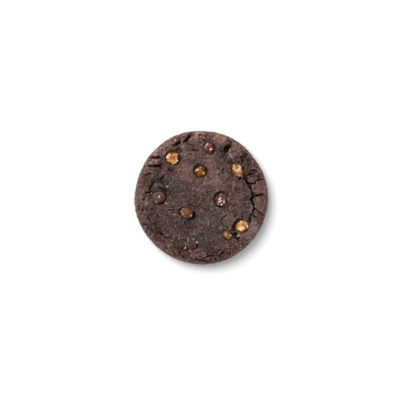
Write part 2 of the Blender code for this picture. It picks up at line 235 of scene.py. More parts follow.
# Shorter and shallower creases, in the crust only.
CREASES = (
    (0.45, 0.5, -10.6, -5, -7.6, -4.3, -5, -5.2, -3.7, -7.4, -3.5, -10.6),
    (0.4, 0.7, 32.9, 3.2, 34.8, 3.2), (0.35, 0.6, 33.5, -8.8, 35, -10.4),
    (0.4, 0.8, 33.6, 8, 34.3, 6.6, 33.7, 4.8), (0.4, 0.9, 30, 8.6, 30.1, 6.6),
    (0.58, 2, 31.7, 17.5, 34.4, 17.6), (0.58, 1.8, 29.6, 14.5, 31, 15.1, 33.2, 15.2),
    (0.35, 0.6, 25.2, -0.9, 27.4, -0.8, 29.6, -0.4), (0.35, 0.6, 21.9, 5.6, 22, 3.4),
    (0.35, 0.6, 26.8, 9.8, 27.4, 7.2), (0.35, 0.5, 14.4, -9.8, 17.2, -11.2, 19.8, -8.6),
    (0.35, 0.5, -34.4, 21.6, -32.2, 21.2, -29.8, 21.4), (0.35, 0.6, -22.4, 10.2, -19.4, 10),
    (0.35, 0.6, -21.2, -7.6, -19.4, -7.7, -16.4, -7.4),
    (0.32, 0.5, -24, -11.2, -20.2, -11.6, -17.4, -11.2), (0.4, 0.9, -36.6, 9, -34.9, 9.2),
    (0.4, 0.9, -2.3, -22.3, -1, -22.3), (0.35, 0.6, -0.3, -6.4, 1.2, -6.3),
    (0.35, 0.6, -16.8, -16.4, -14.4, -16.6), (0.42, 0.6, 25.2, -29.8, 28.6, -29.8),
    (0.38, 0.6, 21.8, -31, 23.2, -33, 24.8, -33.4),
    (0.4, 0.5, 18.2, -32.6, 18.6, -35.2, 18.6, -37),
    (0.35, 0.7, 10, -32.4, 11.6, -33.6, 12.6, -33.2), (0.32, 0.5, -8.5, 33.2, -2.5, 33.3),
    (0.35, 0.6, -15, 28.2, -14.2, 24.6, -13.6, 22), (0.38, 0.7, 19.4, 28.8, 21.6, 29.6, 23, 29.5),
    (0.38, 0.8, 19.2, 30.6, 19.2, 29),
    # Short folds that run out over the edge at the top.
    (0.4, 0.8, -5.1, 41.2, -5, 38.8), (0.32, 0.5, -0.6, 41.8, -0.8, 39.4, -1.4, 38.4),
    (0.4, 0.9, 2.9, 41.2, 2.7, 38.8), (0.32, 0.6, 4.6, 41, 4.3, 39.2),
    # Between the rim's crumpled lumps at the upper right.
    (0.45, 0.9, 25.8, 24.2, 27.2, 24.9, 27.6, 26.3), (0.55, 1.9, 26.5, 28.2, 28.4, 28.3, 30, 27.9),
    (0.45, 1.4, 27.2, 26.7, 28.9, 26.2), (0.45, 2, 18.4, 36, 19.3, 35.2),
    (0.4, 0.7, 28.9, 20.4, 30.2, 20.9, 31, 22.2), (0.42, 1.2, 29.2, 24.4, 30.4, 24, 32.4, 23.9),
    (0.38, 0.6, 32.4, 24.8, 33.8, 24, 34.2, 22), (0.4, 0.8, 24.6, 22.4, 26.6, 22, 27.6, 20.6),
    (0.38, 0.7, 33, 20.4, 35.2, 20, 36.6, 18.6), (0.38, 0.6, 34.8, 14, 36.6, 13.6, 37.8, 12.4),
)

# Pale ridges: streaks that catch the light, with a painted highlight along them as well.
RIDGES = (
    (0.55, 0.75, 18.4, 31.2, 18.2, 29.6), (0.7, 0.9, 17.4, 28.7, 18.3, 26.9, 20.1, 25.4),
    (0.8, 0.2, 16.2, 29, 15.9, 27.2, 16.3, 25),
    (0.75, 0.38, -34.1, -0.6, -34.6, -3.2, -35.6, -5.8), (0.5, 0.3, -21.2, 8, -18.6, 9),
    (0.45, 0.3, -21.4, -0.4, -19, 0.2, -17, 1.2), (0.45, 0.3, -18.9, -1.9, -16.9, -1.3),
    (0.6, 0.3, -24.9, 32.8, -25.4, 30.2, -25.6, 27.8),
    (0.7, 0.3, -28.2, 30.6, -28.8, 28.4, -29.2, 26.6),
    (0.42, 0.2, -34.8, 22.4, -33.2, 22, -30.4, 21.9), (0.4, 0.35, -35.6, 19.2, -33.6, 19.2),
    (0.4, 0.3, -33.8, 17.9, -31.6, 18.9, -29.4, 18.8), (0.4, 0.3, -35, 16.4, -33, 16.9),
    (0.4, 0.25, -36.2, 13.9, -33.6, 14.5), (0.5, 0.28, -30.2, 8.2, -28.6, 10.6, -26.4, 12.9),
    (0.45, 0.25, -27.8, 8.8, -26.2, 10.2), (0.6, 1.3, 22.6, -24.7, 23.4, -24.3, 24.2, -23.8),
    (0.6, 0.45, 26.2, -28.8, 29.8, -28.1), (0.5, 0.3, 20.9, -25.4, 21.2, -26.8),
    (0.55, 0.4, 15.4, -19.4, 14.6, -18.4), (0.55, 0.3, -29.4, 4.2, -27.6, 4.9, -25.4, 4.6),
    (0.4, 0.3, 34.4, -5.8, 36.8, -7.8, 39.8, -10.2), (0.45, 0.35, 31.8, -6, 31.7, -7.4),
    (0.45, 0.3, 33.2, 6.2, 33, 4.4), (0.42, 0.3, -17.9, 37.1, -15.8, 36.4),
    (0.38, 0.45, -16.4, 35.2, -15.4, 34.9),
)

# Soft valleys.
VALLEYS = (
    # Round the lower side of the lump at the upper right.
    (2.4, 0.9, 16.3, 31.5, 13.8, 28.7, 14.8, 25.4, 18.2, 23.2, 20.8, 22.2),
    # Along the inside of the rim at the lower left.
    (2.2, 0.7, -33.4, -10, -32.3, -14.6, -28.5, -19, -25, -23.4, -19.4, -25.6),
    # Along the inside of the rim at the left and the top left.
    (2, 0.7, -32.4, 3.2, -31.2, 9.4, -28, 12.2, -25.2, 14.4, -24.6, 20.6),
)

# Round lumps with a steeper foot: the dough-covered one at the upper right and the ball where the
# long fissure forks. x, y, radius, tone, height.
DOMES = ((22.4, 29.5, 4.7, 0.12, 1.13), (31.7, 12.2, 2.7, 0.12, 0.73))

# Bumps and dents of the crust, each with the values of a Spot: the dark ones carry painted shade and
# the palest painted glints, besides the crust's own flecks.
CRUST_SPOTS = (
    # Lower lumps of the crust.
    (-29.6, -13, 4.4, 0, 0.55), (16.9, -13.9, 4, 0, 0.4), (-29.5, 22.8, 4.2, 0.05, 0.22),
    # The pit between the two caramel chips at the lower right.
    (22.3, -24.7, 2.2, -0.45, -0.73),
    # Upper left.
    (-29, 28.2, 2.4, 0.28, 0.03), (-31.9, 23.6, 2.2, 0.12, 0.03), (-26.9, 30.4, 2.2, 0.22, -0.03),
    (-28, 22.4, 2.2, 0.1, -0.01), (16.4, 31.1, 1.3, -1), (-31.8, 16.2, 0.7, 1),
    (-33, 25.4, 0.9, -0.6), (-20.7, 17.9, 0.9, -1), (-19.4, 17.3, 0.7, -0.8),
    (-25.5, 19, 0.8, -0.5), (-20.5, 33.6, 1.9, 0.2), (-19.4, 36.8, 1.6, 0.2),
    (-17.8, 33.2, 1, -0.7), (-14.6, 30.5, 1.3, -0.8), (-12.6, 29.5, 0.9, -0.6),
    (-12.6, 35, 0.9, 0.55), (-10.8, 32, 1.4, 0.45), (-12.6, 27.6, 1.2, 0.3),
    (-10.8, 26.4, 1.2, 0.25),
    # Top.
    (-3.8, 41.2, 0.7, -0.5), (-1, 39.7, 0.7, -0.5), (2.7, 39.6, 0.7, -0.6), (2.2, 36.1, 0.9, -0.5),
    (-1.2, 21.1, 0.8, -0.7), (13.9, 28.2, 1.7, -0.45), (18.4, 22.6, 1.6, -0.45),
    # The small rough patch right of the second caramel chip.
    (10.6, 18.6, 0.6, -0.8), (11.3, 17.5, 0.6, -0.8), (13.2, 17.3, 0.7, -0.9),
    (14.3, 18.4, 0.6, -0.9), (12.1, 16.1, 0.7, -0.8), (11.5, 14.9, 0.6, -0.7),
    (13.4, 15.3, 0.5, -0.6), (14.2, 16.4, 0.5, -0.6), (10.2, 17.5, 0.5, 0.6),
    (12.3, 17.5, 0.5, 0.7), (12.9, 18.7, 0.5, 0.6), (12.7, 14.7, 0.6, 0.5), (13.1, 16.3, 0.5, 0.6),
    (11.2, 16.4, 0.5, 0.5), (14.6, 24.2, 0.9, -0.6),
    # Upper right: lumps of the rim parted by small dark cells.
    (17.2, 37.8, 0.9, -0.5), (19, 35.4, 1, -0.8), (21.2, 36.1, 0.6, -0.5), (27.8, 28.2, 0.9, -0.6),
    (29.6, 27.7, 0.6, -0.5), (28, 26.2, 1, -0.6), (26, 24, 1, -0.7), (24, 22.7, 0.8, -0.7),
    (29.4, 23.9, 0.6, -0.6), (33, 24.8, 0.9, -0.5), (29.9, 20.8, 0.7, -0.6),
    (27.2, 19.2, 0.8, -0.7), (31, 15, 1.1, -0.6), (19.3, 22.2, 1, -0.6), (18.3, 30, 0.8, 0.6),
    (26.8, 31.4, 0.6, 0.5), (31.4, 23.8, 1.1, 0.3), (30.2, 18.6, 1.5, -0.35),
    (33.6, 14.4, 1.4, -0.35), (30.6, 26.2, 1.3, 0.15),
    # Left.
    (-21.6, 7.2, 0.8, 1.2), (-36.7, 3.4, 0.7, 1), (-31.9, 2.6, 0.6, 0.7), (-36.1, -9.1, 0.7, 0.5),
    (-22.1, -3.7, 0.8, 0.8), (-21.6, 8.6, 0.8, -1.2), (-37, -7.8, 0.8, -0.9),
    (-35.6, -10.6, 0.9, -0.5), (-31.1, -7, 0.8, -1.1), (-31.8, -11.3, 0.6, -0.6),
    (-27.7, -10.8, 0.8, -0.5), (-24.5, -3.5, 0.7, -0.6), (-24.7, -6, 0.6, -0.5),
    (-25.6, 10.2, 0.9, -0.5), (-19.4, -9.6, 0.7, -0.5),
    # Middle.
    (4.9, -7.6, 0.7, -0.5), (-0.6, 13.1, 0.5, -0.5), (1.3, -1, 0.5, -0.5), (2.7, 1.8, 0.5, -0.5),
    (3.9, 3, 0.5, -0.5), (17.3, -3.1, 0.8, 0.5), (16, -2.1, 0.7, -0.9), (14.9, -6.4, 0.6, -0.7),
    # Right.
    (24.6, 12.4, 1, -1), (26.8, 6.2, 0.6, -0.5), (28.8, 4.3, 0.6, -0.5), (21.9, -7, 0.6, -0.6),
    (19, -6.5, 0.6, -0.5), (17.8, -4.9, 0.8, -0.5), (30.3, -3.6, 0.6, -0.6),
    (26.3, -10.3, 0.9, -0.6), (28.8, -9.6, 0.8, -0.6), (26.2, -12.2, 0.9, -0.7),
    (18.2, -9.8, 0.7, -0.5), (21.2, -12, 0.6, -0.5), (33.5, 6.7, 1.3, 0.2),
    # Lower middle.
    (10.1, -22.3, 0.6, -0.7), (12.3, -22.4, 0.7, -0.8), (10.7, -19.5, 0.6, -0.5),
    (6, -30.3, 0.9, -0.5), (7.9, -27.7, 0.7, -0.5), (8.9, -34.3, 0.7, -0.5),
    (15, -20.6, 0.7, -0.8), (12.2, -19.1, 1.1, 0.45), (-14.1, -25.4, 0.8, 0.55),
    (4.6, -17.1, 0.5, 0.45),
    # Lower right.
    (23.3, -24.4, 0.8, 1.5), (-10.8, -32.5, 0.6, 1.3), (25, -33.3, 0.9, -0.6),
    (21.2, -23, 0.9, -0.8), (23.9, -25.9, 0.8, -0.9), (23.6, -27.7, 0.7, -0.8),
    (21.3, -26.4, 0.6, 0.45),
    # Lower left.
    (-29.8, -16.8, 1.1, -0.5), (-21.7, -32.5, 0.7, -0.7), (-16.7, -37.6, 0.7, -0.8),
    (-17.8, -18.4, 0.7, -0.6), (-15.4, -18.6, 0.6, -0.6), (-31.7, -26.6, 0.6, -0.6),
    (-16.5, -18.3, 0.6, 0.6), (-30.4, -18.8, 1.4, 0.28),
    # Round the sunken chocolate chip at the bottom.
    (-8.2, -27.2, 0.6, 0.75), (-5.2, -26.5, 0.7, 0.5), (-7.4, -33.9, 0.8, 0.6),
    (-11.9, -32.5, 0.9, -1.2),
)

# Patches of long folds that run in one direction: x, y, radius, direction, spacing, height.
STREAKS = (
    (-0.5, 40.2, 7, 90, 1.1, 0.45), (-14, 36.5, 5, 30, 1.6, 0.35), (-36, 11.5, 6, 80, 1.6, 0.3),
    (-14, -36.5, 6, -25, 1.5, 0.35), (1, -39, 7, 0, 1.5, 0.35), (28, 24.5, 6, 60, 1.7, 0.45),
    (35, -16, 6, 60, 1.6, 0.18), (28, -29, 6, 15, 1.6, 0.3), (-31.5, 20.8, 8, 3, 1.6, 0.36),
    (-34, 15.5, 5, 20, 1.5, 0.4), (-27.5, 9.5, 5, 48, 1.8, 0.45), (-18.5, 4, 6, 28, 1.7, 0.4),
    (-17.5, -9, 5.5, 3, 1.4, 0.24), (-5.5, 31.5, 5.5, 0, 1.3, 0.28), (3, 25.5, 6, 0, 1.4, 0.22),
    (4, -31.5, 5.5, 0, 1.3, 0.35), (23, 6, 6, 80, 1.7, 0.28), (28, -2, 5, 0, 1.7, 0.4),
    (37.5, 5.5, 5.5, 3, 1.4, 0.18), (38, -3.5, 6, 88, 1.4, 0.18), (33.5, 18, 6, 5, 1.5, 0.28),
    (-28, -25, 6.5, -45, 1.8, 0.35), (20, -34, 6.5, 75, 1.7, 0.3), (18, -3, 7, -40, 1.8, 0.3),
)

# Patches where the finer relief is lower by a share: x, y, radius, share.
SMOOTHS = (
    (32, 18, 4, 0.7), (33, -20, 6, 0.7), (-36, -13, 5, 0.6), (36, -14, 4, 0.6),
    (-34.5, -3.5, 3.5, 0.5), (-3.5, 37, 3.8, 0.8), (12, 37.5, 4.5, 0.8), (22.3, 29.6, 4.6, 0.8),
    (38, 5, 6, 0.8), (38, -4, 6.5, 0.8), (8, 12.5, 5.5, 0.75), (7, 21, 5, 0.8),
    (-8.5, 19.5, 5, 0.7), (-9, 13, 5, 0.5), (3, 29, 5, 0.5), (32.2, 11.7, 2.8, 0.8),
    (7.5, -24.5, 4, 0.7), (28.5, -25.5, 4, 0.6), (-27, -30, 4, 0.6), (-24, -14, 4, 0.5),
    (-40, 0, 6, 0.6), (-39, 8, 5, 0.5), (12.5, -30.5, 3, 0.6), (4.5, -21, 4, 0.5),
)

# Patches that are lighter or darker by a share, redder or greyer, and nearer to plum, above zero, or
# to olive: x, y, radius, shade, warmth, plum. The lightness is partly uneven baking and partly
# painted light and shade, such as a lighter rim on the side away from the light and darker valleys.
BAKE_AND_LIGHT_PATCHES = (
    (-8, 30, 9, 0.55, 0.2, -0.4), (7, 14, 10, 0.45, 0.2, 0), (3, 26, 8, 0.62, 0.1, -0.2),
    (8, 7, 6, 0.24, 0.1, 0.2), (-11, 17, 9, 0.5, 0.1, -0.2), (-13.5, 20, 4, 0.15, 0.1, -0.6),
    (-3, 9, 8, 0.2, 0.1, 0.5), (14, 10, 7, 0.35, 0.1, 0.2), (13.9, 27, 3.4, -0.5, -0.6, -0.5),
    (17, 26.5, 2.8, 0.05, -0.2, 0.7), (18.8, 22.4, 3.2, -0.3, 0, 1),
    (26, 22.5, 5, 0.08, 0.3, -0.9), (31.3, 17.2, 3.8, -0.25, 0.3, 1),
    (34, 17, 8, -0.16, 1.9, -0.6), (28, 28.5, 7, -0.18, 1.7, -0.7), (17, 35.5, 5, -0.2, 0.8, 0),
    (26.5, 24.8, 4.5, -0.05, 1, -0.5), (22.4, 30, 5.5, 0.15, 0.3, 0.6),
    (28.3, 12, 4, -0.5, -0.6, -0.9), (-27, 8, 8, -0.35, -0.5, 0),
    (-18.5, 6.5, 6.5, 0.38, -0.5, 0.35), (-37, 9, 6, 0, 0.8, 0), (-31.5, 3.5, 4, -0.4, -0.4, -0.8),
    (-38, -8, 9, -0.15, 0, -0.7), (-38.5, 8, 5, -0.1, 0.5, -0.2), (-31, -20, 11, -0.36, 0.2, 0.3),
    (-24, -14, 7, 0.02, -0.2, 0.6), (-36, -18, 3, -0.2, 1, 0.6), (-30, -24, 4, -0.1, 0.9, 0.3),
    (-20, -18, 9, 0, 0.2, 0.2), (-6, 1, 7, -0.1, 0.5, 0.2), (0, 0.5, 4, 0.16, -0.3, 0.5),
    (-4, -4, 6, -0.15, 0, -0.7), (-9, -17, 8, -0.42, -0.1, 0.1), (0, -26, 8, -0.1, -0.4, 0.1),
    (-8.5, -24.5, 4, -0.18, 0, 0.1), (-31, -9, 6, -0.18, 0, 0.2), (-15, -30, 6, -0.28, -0.8, -0.8),
    (8, -21, 9, -0.22, -0.2, 0.1), (-14, -35, 8, -0.25, 0.7, 0), (12, -36, 12, -0.25, 0.2, -0.4),
    (-2, -40, 9, 0.32, -0.1, 0.1), (16.5, -38, 5, 0, 1, 0.2), (28, -25, 5.5, 0.6, -0.4, -0.8),
    (34, -19.5, 6.5, 0.92, -0.6, 0.6), (33, -23, 8, 0.46, -0.3, 0),
    (-40.5, -2, 7, 0.06, -0.4, -0.6), (-29, 30, 10, 0.42, -0.3, 0), (30, -28, 5.5, 0.62, 0.4, 0.2),
    (23, -34, 8, 0.42, 0.2, 0), (17, -13, 7, 0.45, 0, 0.3), (27, -10, 4, -0.05, -0.1, 1),
    (23, 1, 8, 0.35, 0.2, 0.5), (25, 8, 4, 0.16, 0.4, 0.1), (32, -7, 4.5, 0.25, 0.1, 0),
    (16, 17, 4.5, 0.14, -0.1, 0.1), (9.5, 31, 3.5, 0.24, 0.4, -0.3), (1.6, 33.5, 3, 0.3, 0.3, 0),
    (-33, 0, 3.5, -0.32, 0.8, 0.2), (21.5, -24, 3, -0.4, -0.4, 1), (34, -16, 4, 0.1, 0, -0.8),
    (37.5, -5, 7.5, 0.32, 0.9, 0), (38, 6, 7, 0.28, 1, 0), (-20.5, 34, 5, 0.35, 0.3, 0.9),
    (-31, 24, 8, 0.2, 0.1, 0.6), (-33, 16, 5, 0.75, 0.2, 0.6), (-24.5, 25.5, 4, 0.12, 0.1, -1),
    (-19, 17, 4, -0.3, 0.2, 1), (-0.5, 40.5, 7.5, 1.05, 0.7, 0.1), (-4.5, 37, 4, 0.4, 0.1, -0.4),
    (12, 38, 7, 0.72, 0.3, -0.1),
)


# ------------------------------------------------------------------ the chips
class Chip(NamedTuple):
    """A chip's half length and breadth, the turn of its length, the free space beside it, how high
    the dough closes in on it, as a share of its half height, the sides where the space is wider and
    deep, as (direction, extra width), the sides where the chip itself is fuller or flatter, as
    (direction, share of its half breadth), how rough it is, and its own colour."""

    half_length: float
    half_breadth: float
    turn: float
    gap: float
    closed_level: float
    open_sides: tuple
    bulges: tuple
    roughness: float
    colour: tuple


CHIPS = {
    "caramel_chip_1": Chip(
        4.1, 4.0, 90, -0.1, 0.45,
        ((5, 0.9), (-48, 0.9), (185, 0.45), (90, 0.4)),
        ((95, -0.08), (40, 0.06), (180, -0.02), (-62, 0.12), (-118, 0.05)),
        0.35, (0.500, 0.185, 0.044),
    ),
    "caramel_chip_2": Chip(
        3.9, 3.6, 0, -0.1, 0.40,
        ((-10, 0.6), (145, 0.6), (-110, 0.3)),
        ((150, -0.06), (45, 0.02), (-135, -0.04)),
        0.35, (0.242, 0.073, 0.016),
    ),
    "caramel_chip_3": Chip(
        4.3, 3.2, 118, -0.1, 0.45,
        ((20, 0.6), (190, 0.5), (-110, 0.3)),
        ((226, 0.26), (135, 0.06), (-38, 0.14), (30, -0.06)),
        0.40, (0.440, 0.190, 0.058),
    ),
    "caramel_chip_4": Chip(
        3.9, 3.8, 30, -0.2, 0.45,
        ((168, 1.25), (-50, 0.3), (125, 0.7)),
        ((40, 0.20), (135, -0.08), (228, 0.14), (-45, 0.06), (90, -0.06), (180, 0.03)),
        0.30, (0.500, 0.215, 0.052),
    ),
    "caramel_chip_5": Chip(
        2.9, 2.7, -40, -0.2, 0.45,
        ((0, 0.6), (-90, 0.35)),
        ((140, 0.14), (30, -0.16), (-60, 0.10), (220, -0.12)),
        0.75, (0.275, 0.126, 0.053),
    ),
    "chocolate_chip_1": Chip(
        3.5, 3.4, 60, -0.3, 0.50,
        ((-38, 0.9), (140, 0.6), (15, 0.35)),
        ((45, 0.14), (-40, 0.14), (140, 0.13), (222, 0.18)),
        0.25, (0.125, 0.038, 0.026),
    ),
    "chocolate_chip_2": Chip(
        4.7, 4.3, 20, -0.3, 0.55,
        ((15, 0.75), (-95, 0.5), (-35, 0.4)),
        ((90, -0.10), (188, 0.12), (-40, 0.06), (-90, 0.02), (40, 0.06)),
        0.28, (0.096, 0.039, 0.032),
    ),
    "chocolate_chip_3": Chip(
        4.5, 3.35, -8, -0.3, 0.45,
        ((-28, 2.0), (140, 0.8), (-95, 0.45)),
        ((40, 0.34), (-38, 0.22), (143, 0.20), (218, 0.18), (0, -0.32), (180, -0.10)),
        0.28, (0.138, 0.048, 0.023),
    ),
    "chocolate_chip_4": Chip(
        4.5, 4.1, 100, -0.3, 0.45,
        ((178, 0.6), (-98, 0.8), (85, 0.6)),
        ((225, -0.04), (50, 0.10), (-50, 0.05), (92, -0.03), (175, 0.05)),
        0.45, (0.127, 0.046, 0.037),
    ),
    "chocolate_chip_5": Chip(
        5.0, 3.4, 12, -1.0, 0.75,
        ((212, 0.5), (-28, 0.45)),
        ((60, -0.08), (150, 0.10), (-90, -0.10), (17, 0.08)),
        0.90, (0.097, 0.034, 0.025),
    ),
}

# The bumps and dents of each chip, each with the values of a Spot: the dents get painted shade and
# the bumps painted highlights, besides the chip's own darker and paler parts.
CHIP_SPOTS = {
    "caramel_chip_1": (
        (-21.5, 25.8, 1, 1.01), (-20.3, 27.3, 1, 0.69), (-17.3, 27.2, 0.8, 0.46),
        (-15.5, 27.7, 0.9, 0.37), (-15.3, 25.4, 0.8, 0.32), (-15.5, 23.5, 0.9, 0.92),
        (-16.5, 22.3, 1, 0.64), (-17.7, 21.3, 0.9, 0.55), (-18.4, 23.2, 1.1, 0.23),
        (-21, 23.2, 0.8, 0.46), (-18.7, 25, 1.3, -0.51), (-17.3, 26, 1.1, -0.51),
        (-18.8, 27.8, 1, -0.42), (-17, 24.2, 0.9, -0.37), (-21.4, 22, 1.1, -0.64),
        (-19.6, 21.4, 1.1, -0.64), (-18.4, 29.4, 2, -0.6), (-15.8, 29.5, 1.5, -0.5),
        (-21.2, 28.9, 1.3, -0.5), (-14.7, 28.6, 1, -0.55),
    ),
    "caramel_chip_2": (
        (-2.2, 17.9, 0.8, 0.75), (-3.2, 17.5, 0.7, 0.5), (-4, 16.7, 0.6, 0.35),
        (-0.6, 19.5, 0.8, 0.28), (1.6, 15.5, 0.7, 0.6), (1.3, 14.7, 0.5, 0.3),
        (-1.7, 16.7, 0.7, -0.4), (1.9, 18.3, 1.6, -0.85), (2.8, 16.8, 0.9, -0.8),
        (-2.7, 19.4, 1.3, -0.9), (-3.7, 14.9, 1.4, -0.85), (-0.3, 13.8, 1.1, -0.7),
        (2.4, 14, 0.8, -0.5),
    ),
    "caramel_chip_3": (
        (20.7, 20.3, 0.8, 0.73), (24.2, 20.9, 1, 0.56), (24.7, 19.3, 1.1, 0.69),
        (24.2, 17.8, 1, 0.65), (22.7, 17, 0.9, 0.52), (21.6, 17.3, 0.9, 0.52),
        (20.7, 18.3, 0.7, 0.47), (23, 19.3, 0.6, -0.8), (21.3, 19.4, 0.5, -0.5),
        (22.3, 20.7, 0.9, -0.45), (22, 18.2, 0.4, -0.35), (22.2, 15.2, 1.3, -0.35),
        (23.9, 15.6, 1, -0.2), (23.9, 13.9, 0.9, 0.56), (25.7, 13.5, 0.7, 0.43),
        (26.9, 15.5, 0.6, 0.26), (25.4, 16.8, 0.7, 0.3), (25.9, 15.2, 0.8, -0.75),
        (20.5, 15, 1.2, -0.72), (20.1, 16.8, 0.8, -0.5), (22.6, 13.5, 0.8, -0.6),
    ),
    "caramel_chip_4": (
        (25.2, -15.2, 0.8, 0.7), (25.2, -16.4, 0.7, 0.42), (25.4, -17.8, 0.9, 0.42),
        (28.1, -16.1, 1, 0.33), (29.4, -18, 0.65, 0.95), (29.4, -19.1, 0.65, 0.95),
        (29.5, -14.6, 0.6, 0.33), (25.7, -20.1, 1.1, 0.72), (27, -19.3, 0.9, 0.65),
        (24.4, -19.7, 1, 0.6), (25.6, -18.9, 0.8, 0.38), (23, -19.6, 0.8, 0.28),
        (26.3, -17.1, 0.7, -0.6), (27.1, -18, 0.8, -0.37), (28.4, -18.2, 0.7, -0.42),
        (28.6, -19.7, 0.9, -0.6), (29.4, -20.7, 0.8, -0.93), (27.8, -21.5, 1.2, -0.88),
        (25.8, -21.9, 0.8, -0.65), (24, -21.6, 1, -0.56), (23.4, -17.3, 1, -0.19),
        (23.6, -16.1, 0.8, 0.23), (27.4, -14.7, 0.9, -0.37),
    ),
    "caramel_chip_5": (
        (15.4, -23.3, 0.9, 0.28), (18.5, -24.3, 0.9, 0.42), (17.3, -26.3, 0.9, 0.34),
        (16.6, -24.9, 0.9, -0.25), (17.5, -22.7, 0.9, -0.7), (17.4, -25.3, 0.5, -0.4),
        (18.9, -26, 0.8, -0.9), (15.5, -26.5, 0.9, -0.7), (19.4, -23, 0.7, -0.6),
        (16.3, -21.9, 0.7, -0.5), (14.3, -23.9, 0.7, 0.25),
    ),
    "chocolate_chip_1": (
        (3.8, 33.9, 0.7, 0.75), (3.1, 33, 0.5, 0.4), (2.7, 32.2, 0.6, 0.5), (6.2, 30.7, 0.8, 1),
        (5.2, 33.4, 1.2, 0.08), (1.7, 34.4, 0.9, -0.95), (8, 33.6, 0.9, -0.9),
        (4.8, 30.2, 0.7, -0.4), (7.4, 29.3, 1, -0.95), (3.6, 28.8, 1, -0.6), (7.6, 32, 0.7, -0.5),
        (4.6, 31.9, 0.4, -0.25),
    ),
    "chocolate_chip_2": (
        (-26.7, 0.4, 0.6, 0.75), (-28.8, -2.8, 1, 0.3), (-31.6, -1.6, 1, 0.24),
        (-26.2, -2.6, 1, -0.3), (-26.7, -0.4, 0.4, 0.4), (-26.5, 1.2, 0.4, 0.25),
        (-26.8, 2.4, 0.6, -0.55), (-25.2, 0.5, 0.8, -0.25), (-30.4, -0.2, 1.3, -0.1),
        (-24.2, -3, 0.9, -0.9),
    ),
    "chocolate_chip_3": (
        (-11.7, -7.4, 0.7, 0.45), (-12.4, -9.1, 0.7, 0.42), (-11.5, -10.6, 0.6, 0.48),
        (-6.3, -11.4, 0.6, 0.75), (-9, -8.8, 1.2, 0.12), (-10.2, -12.7, 1, 0.15),
        (-8.8, -11.4, 0.7, -0.4), (-13.7, -10.4, 1, -0.6), (-13.6, -7.6, 0.9, -0.8),
        (-11.6, -8.2, 0.5, -0.6), (-11.3, -9.6, 0.5, -0.6), (-6.9, -7.4, 1.2, -0.26),
        (-12.9, -10.9, 0.6, -0.4), (-12.4, -12.6, 0.8, -0.4),
    ),
    "chocolate_chip_4": (
        (12.3, 1.9, 0.7, 0.45), (11.6, -1, 0.65, 1.3), (12.3, -0.4, 0.55, 0.75),
        (11, -1.3, 0.4, 0.5), (13, -1.9, 0.5, 1.1), (11.4, -2.6, 0.55, 1.3),
        (12.2, -2.5, 0.55, 1.4), (14.3, -2.7, 0.65, 0.95), (10.4, -3, 0.5, 0.5),
        (12.9, -4.1, 0.5, 1.3), (12.9, -4.8, 0.5, 1.5), (14.2, -3.9, 0.6, 0.35),
        (11.1, -4.1, 0.6, 0.45), (13.7, 1.2, 0.5, -0.5), (12.6, 0.8, 0.6, -0.5),
        (13.6, -0.6, 0.7, -0.5), (11.5, -1.9, 0.4, -0.8), (12.4, -1.6, 0.3, -0.7),
        (13.4, -3.1, 0.45, -0.95), (12.1, -3.4, 0.45, -0.9), (12, -4.7, 0.4, -0.7),
        (10.5, -0.1, 0.6, -0.5), (9.8, 1.4, 0.8, -0.7), (11.2, 2.6, 0.8, -0.7),
        (9.2, -1.8, 1, -0.5), (8.6, 0.6, 0.8, -0.8), (9.6, -3.6, 0.6, -0.5),
    ),
    "chocolate_chip_5": (
        (-2.6, -28.2, 0.7, 0.85), (-1.4, -28.7, 0.4, 0.8), (-10.2, -32, 0.95, 1.25),
        (-8.1, -27.5, 0.6, 0.65), (-5.3, -27, 0.6, 0.35), (-7.4, -33.3, 0.6, 0.4),
        (-2.6, -30.8, 1.4, -1.1), (-3.4, -27.3, 0.7, -0.8), (-5.4, -31.2, 0.8, -0.95),
        (-4.9, -29.3, 0.6, -0.8), (-7, -31.2, 0.6, -0.6), (-9, -31.8, 1, -0.6),
        (-8.2, -32.6, 0.6, -0.6), (-6.6, -27.6, 0.8, -0.7), (-9.4, -29.9, 1.2, 0.14),
        (-7.6, -28.9, 0.4, -0.4), (-8.6, -30.4, 0.3, -0.4),
    ),
}

# The socket of a chip: its wall, the lip round it, how low the dough lies where it is open, and the
# painted shade in the gap round the chip, fainter where the dough closes in.
SOCKET_WALL = 0.6 * MM
SOCKET_LIP = 0.20 * MM
LIP_DISTANCE = 1.3 * MM
LIP_WIDTH = 0.9 * MM
SOCKET_REACH = LIP_DISTANCE + 2 * LIP_WIDTH
OPEN_LEVEL = -0.3
OPEN_SHARPNESS = 3
OPEN_WIDTH = 0.7
CLOSED_HOLLOW_SHADE = 0.25
RING_BLOTS = (1.7 * MM, 0.55)

# Melted caramel has soaked into the dough this far round a caramel chip.
STAIN_WIDTH = 2.4 * MM

# A chip's form: how far it goes past its visible outline, how blunt and how uneven it is, and its
# mesh. The spots fade out towards the widest line, faster than their tones.
CHIP_GROWTH = 0.25
CHIP_FULLNESS = 0.60
CHIP_UNEVENNESS = 0.15
CHIP_BUMP_SIZE = 0.7
CHIP_POLE = 0.01
BULGE_SHARPNESS = 3
CHIP_DETAIL = 6
CHIP_CREASES = (1.1 * MM, 0.12 * MM)
CHIP_CREASE_WIDTH = 0.15
CHIP_GRAIN = (0.45 * MM, 0.06 * MM)
SPOT_FADE = 2.0
TONE_FADE = 3.0

# A chip is darker from this share of its half height down to that one, in uneven blots: painted
# shade on the flank where the chip dips into its socket.
FLANK_SHADE_FROM = 0.93
FLANK_SHADE_TO = 0.45
FLANK_SHADE_BLOTS = (1.3 * MM, 0.9)

# ------------------------------------------------------------------ forms
QUARTER_TURN = math.pi / 2
SIXTH_TURN = math.pi / 3


def smooth_step(share):
    """0 up to 0, 1 from 1 on, and an even S-curve between."""
    share = min(max(share, 0.0), 1.0)
    return share * share * (3.0 - 2.0 * share)


def bell(distance, width):
    """1 at no distance, and less and less on either side."""
    return math.exp(-((distance / width) ** 2))


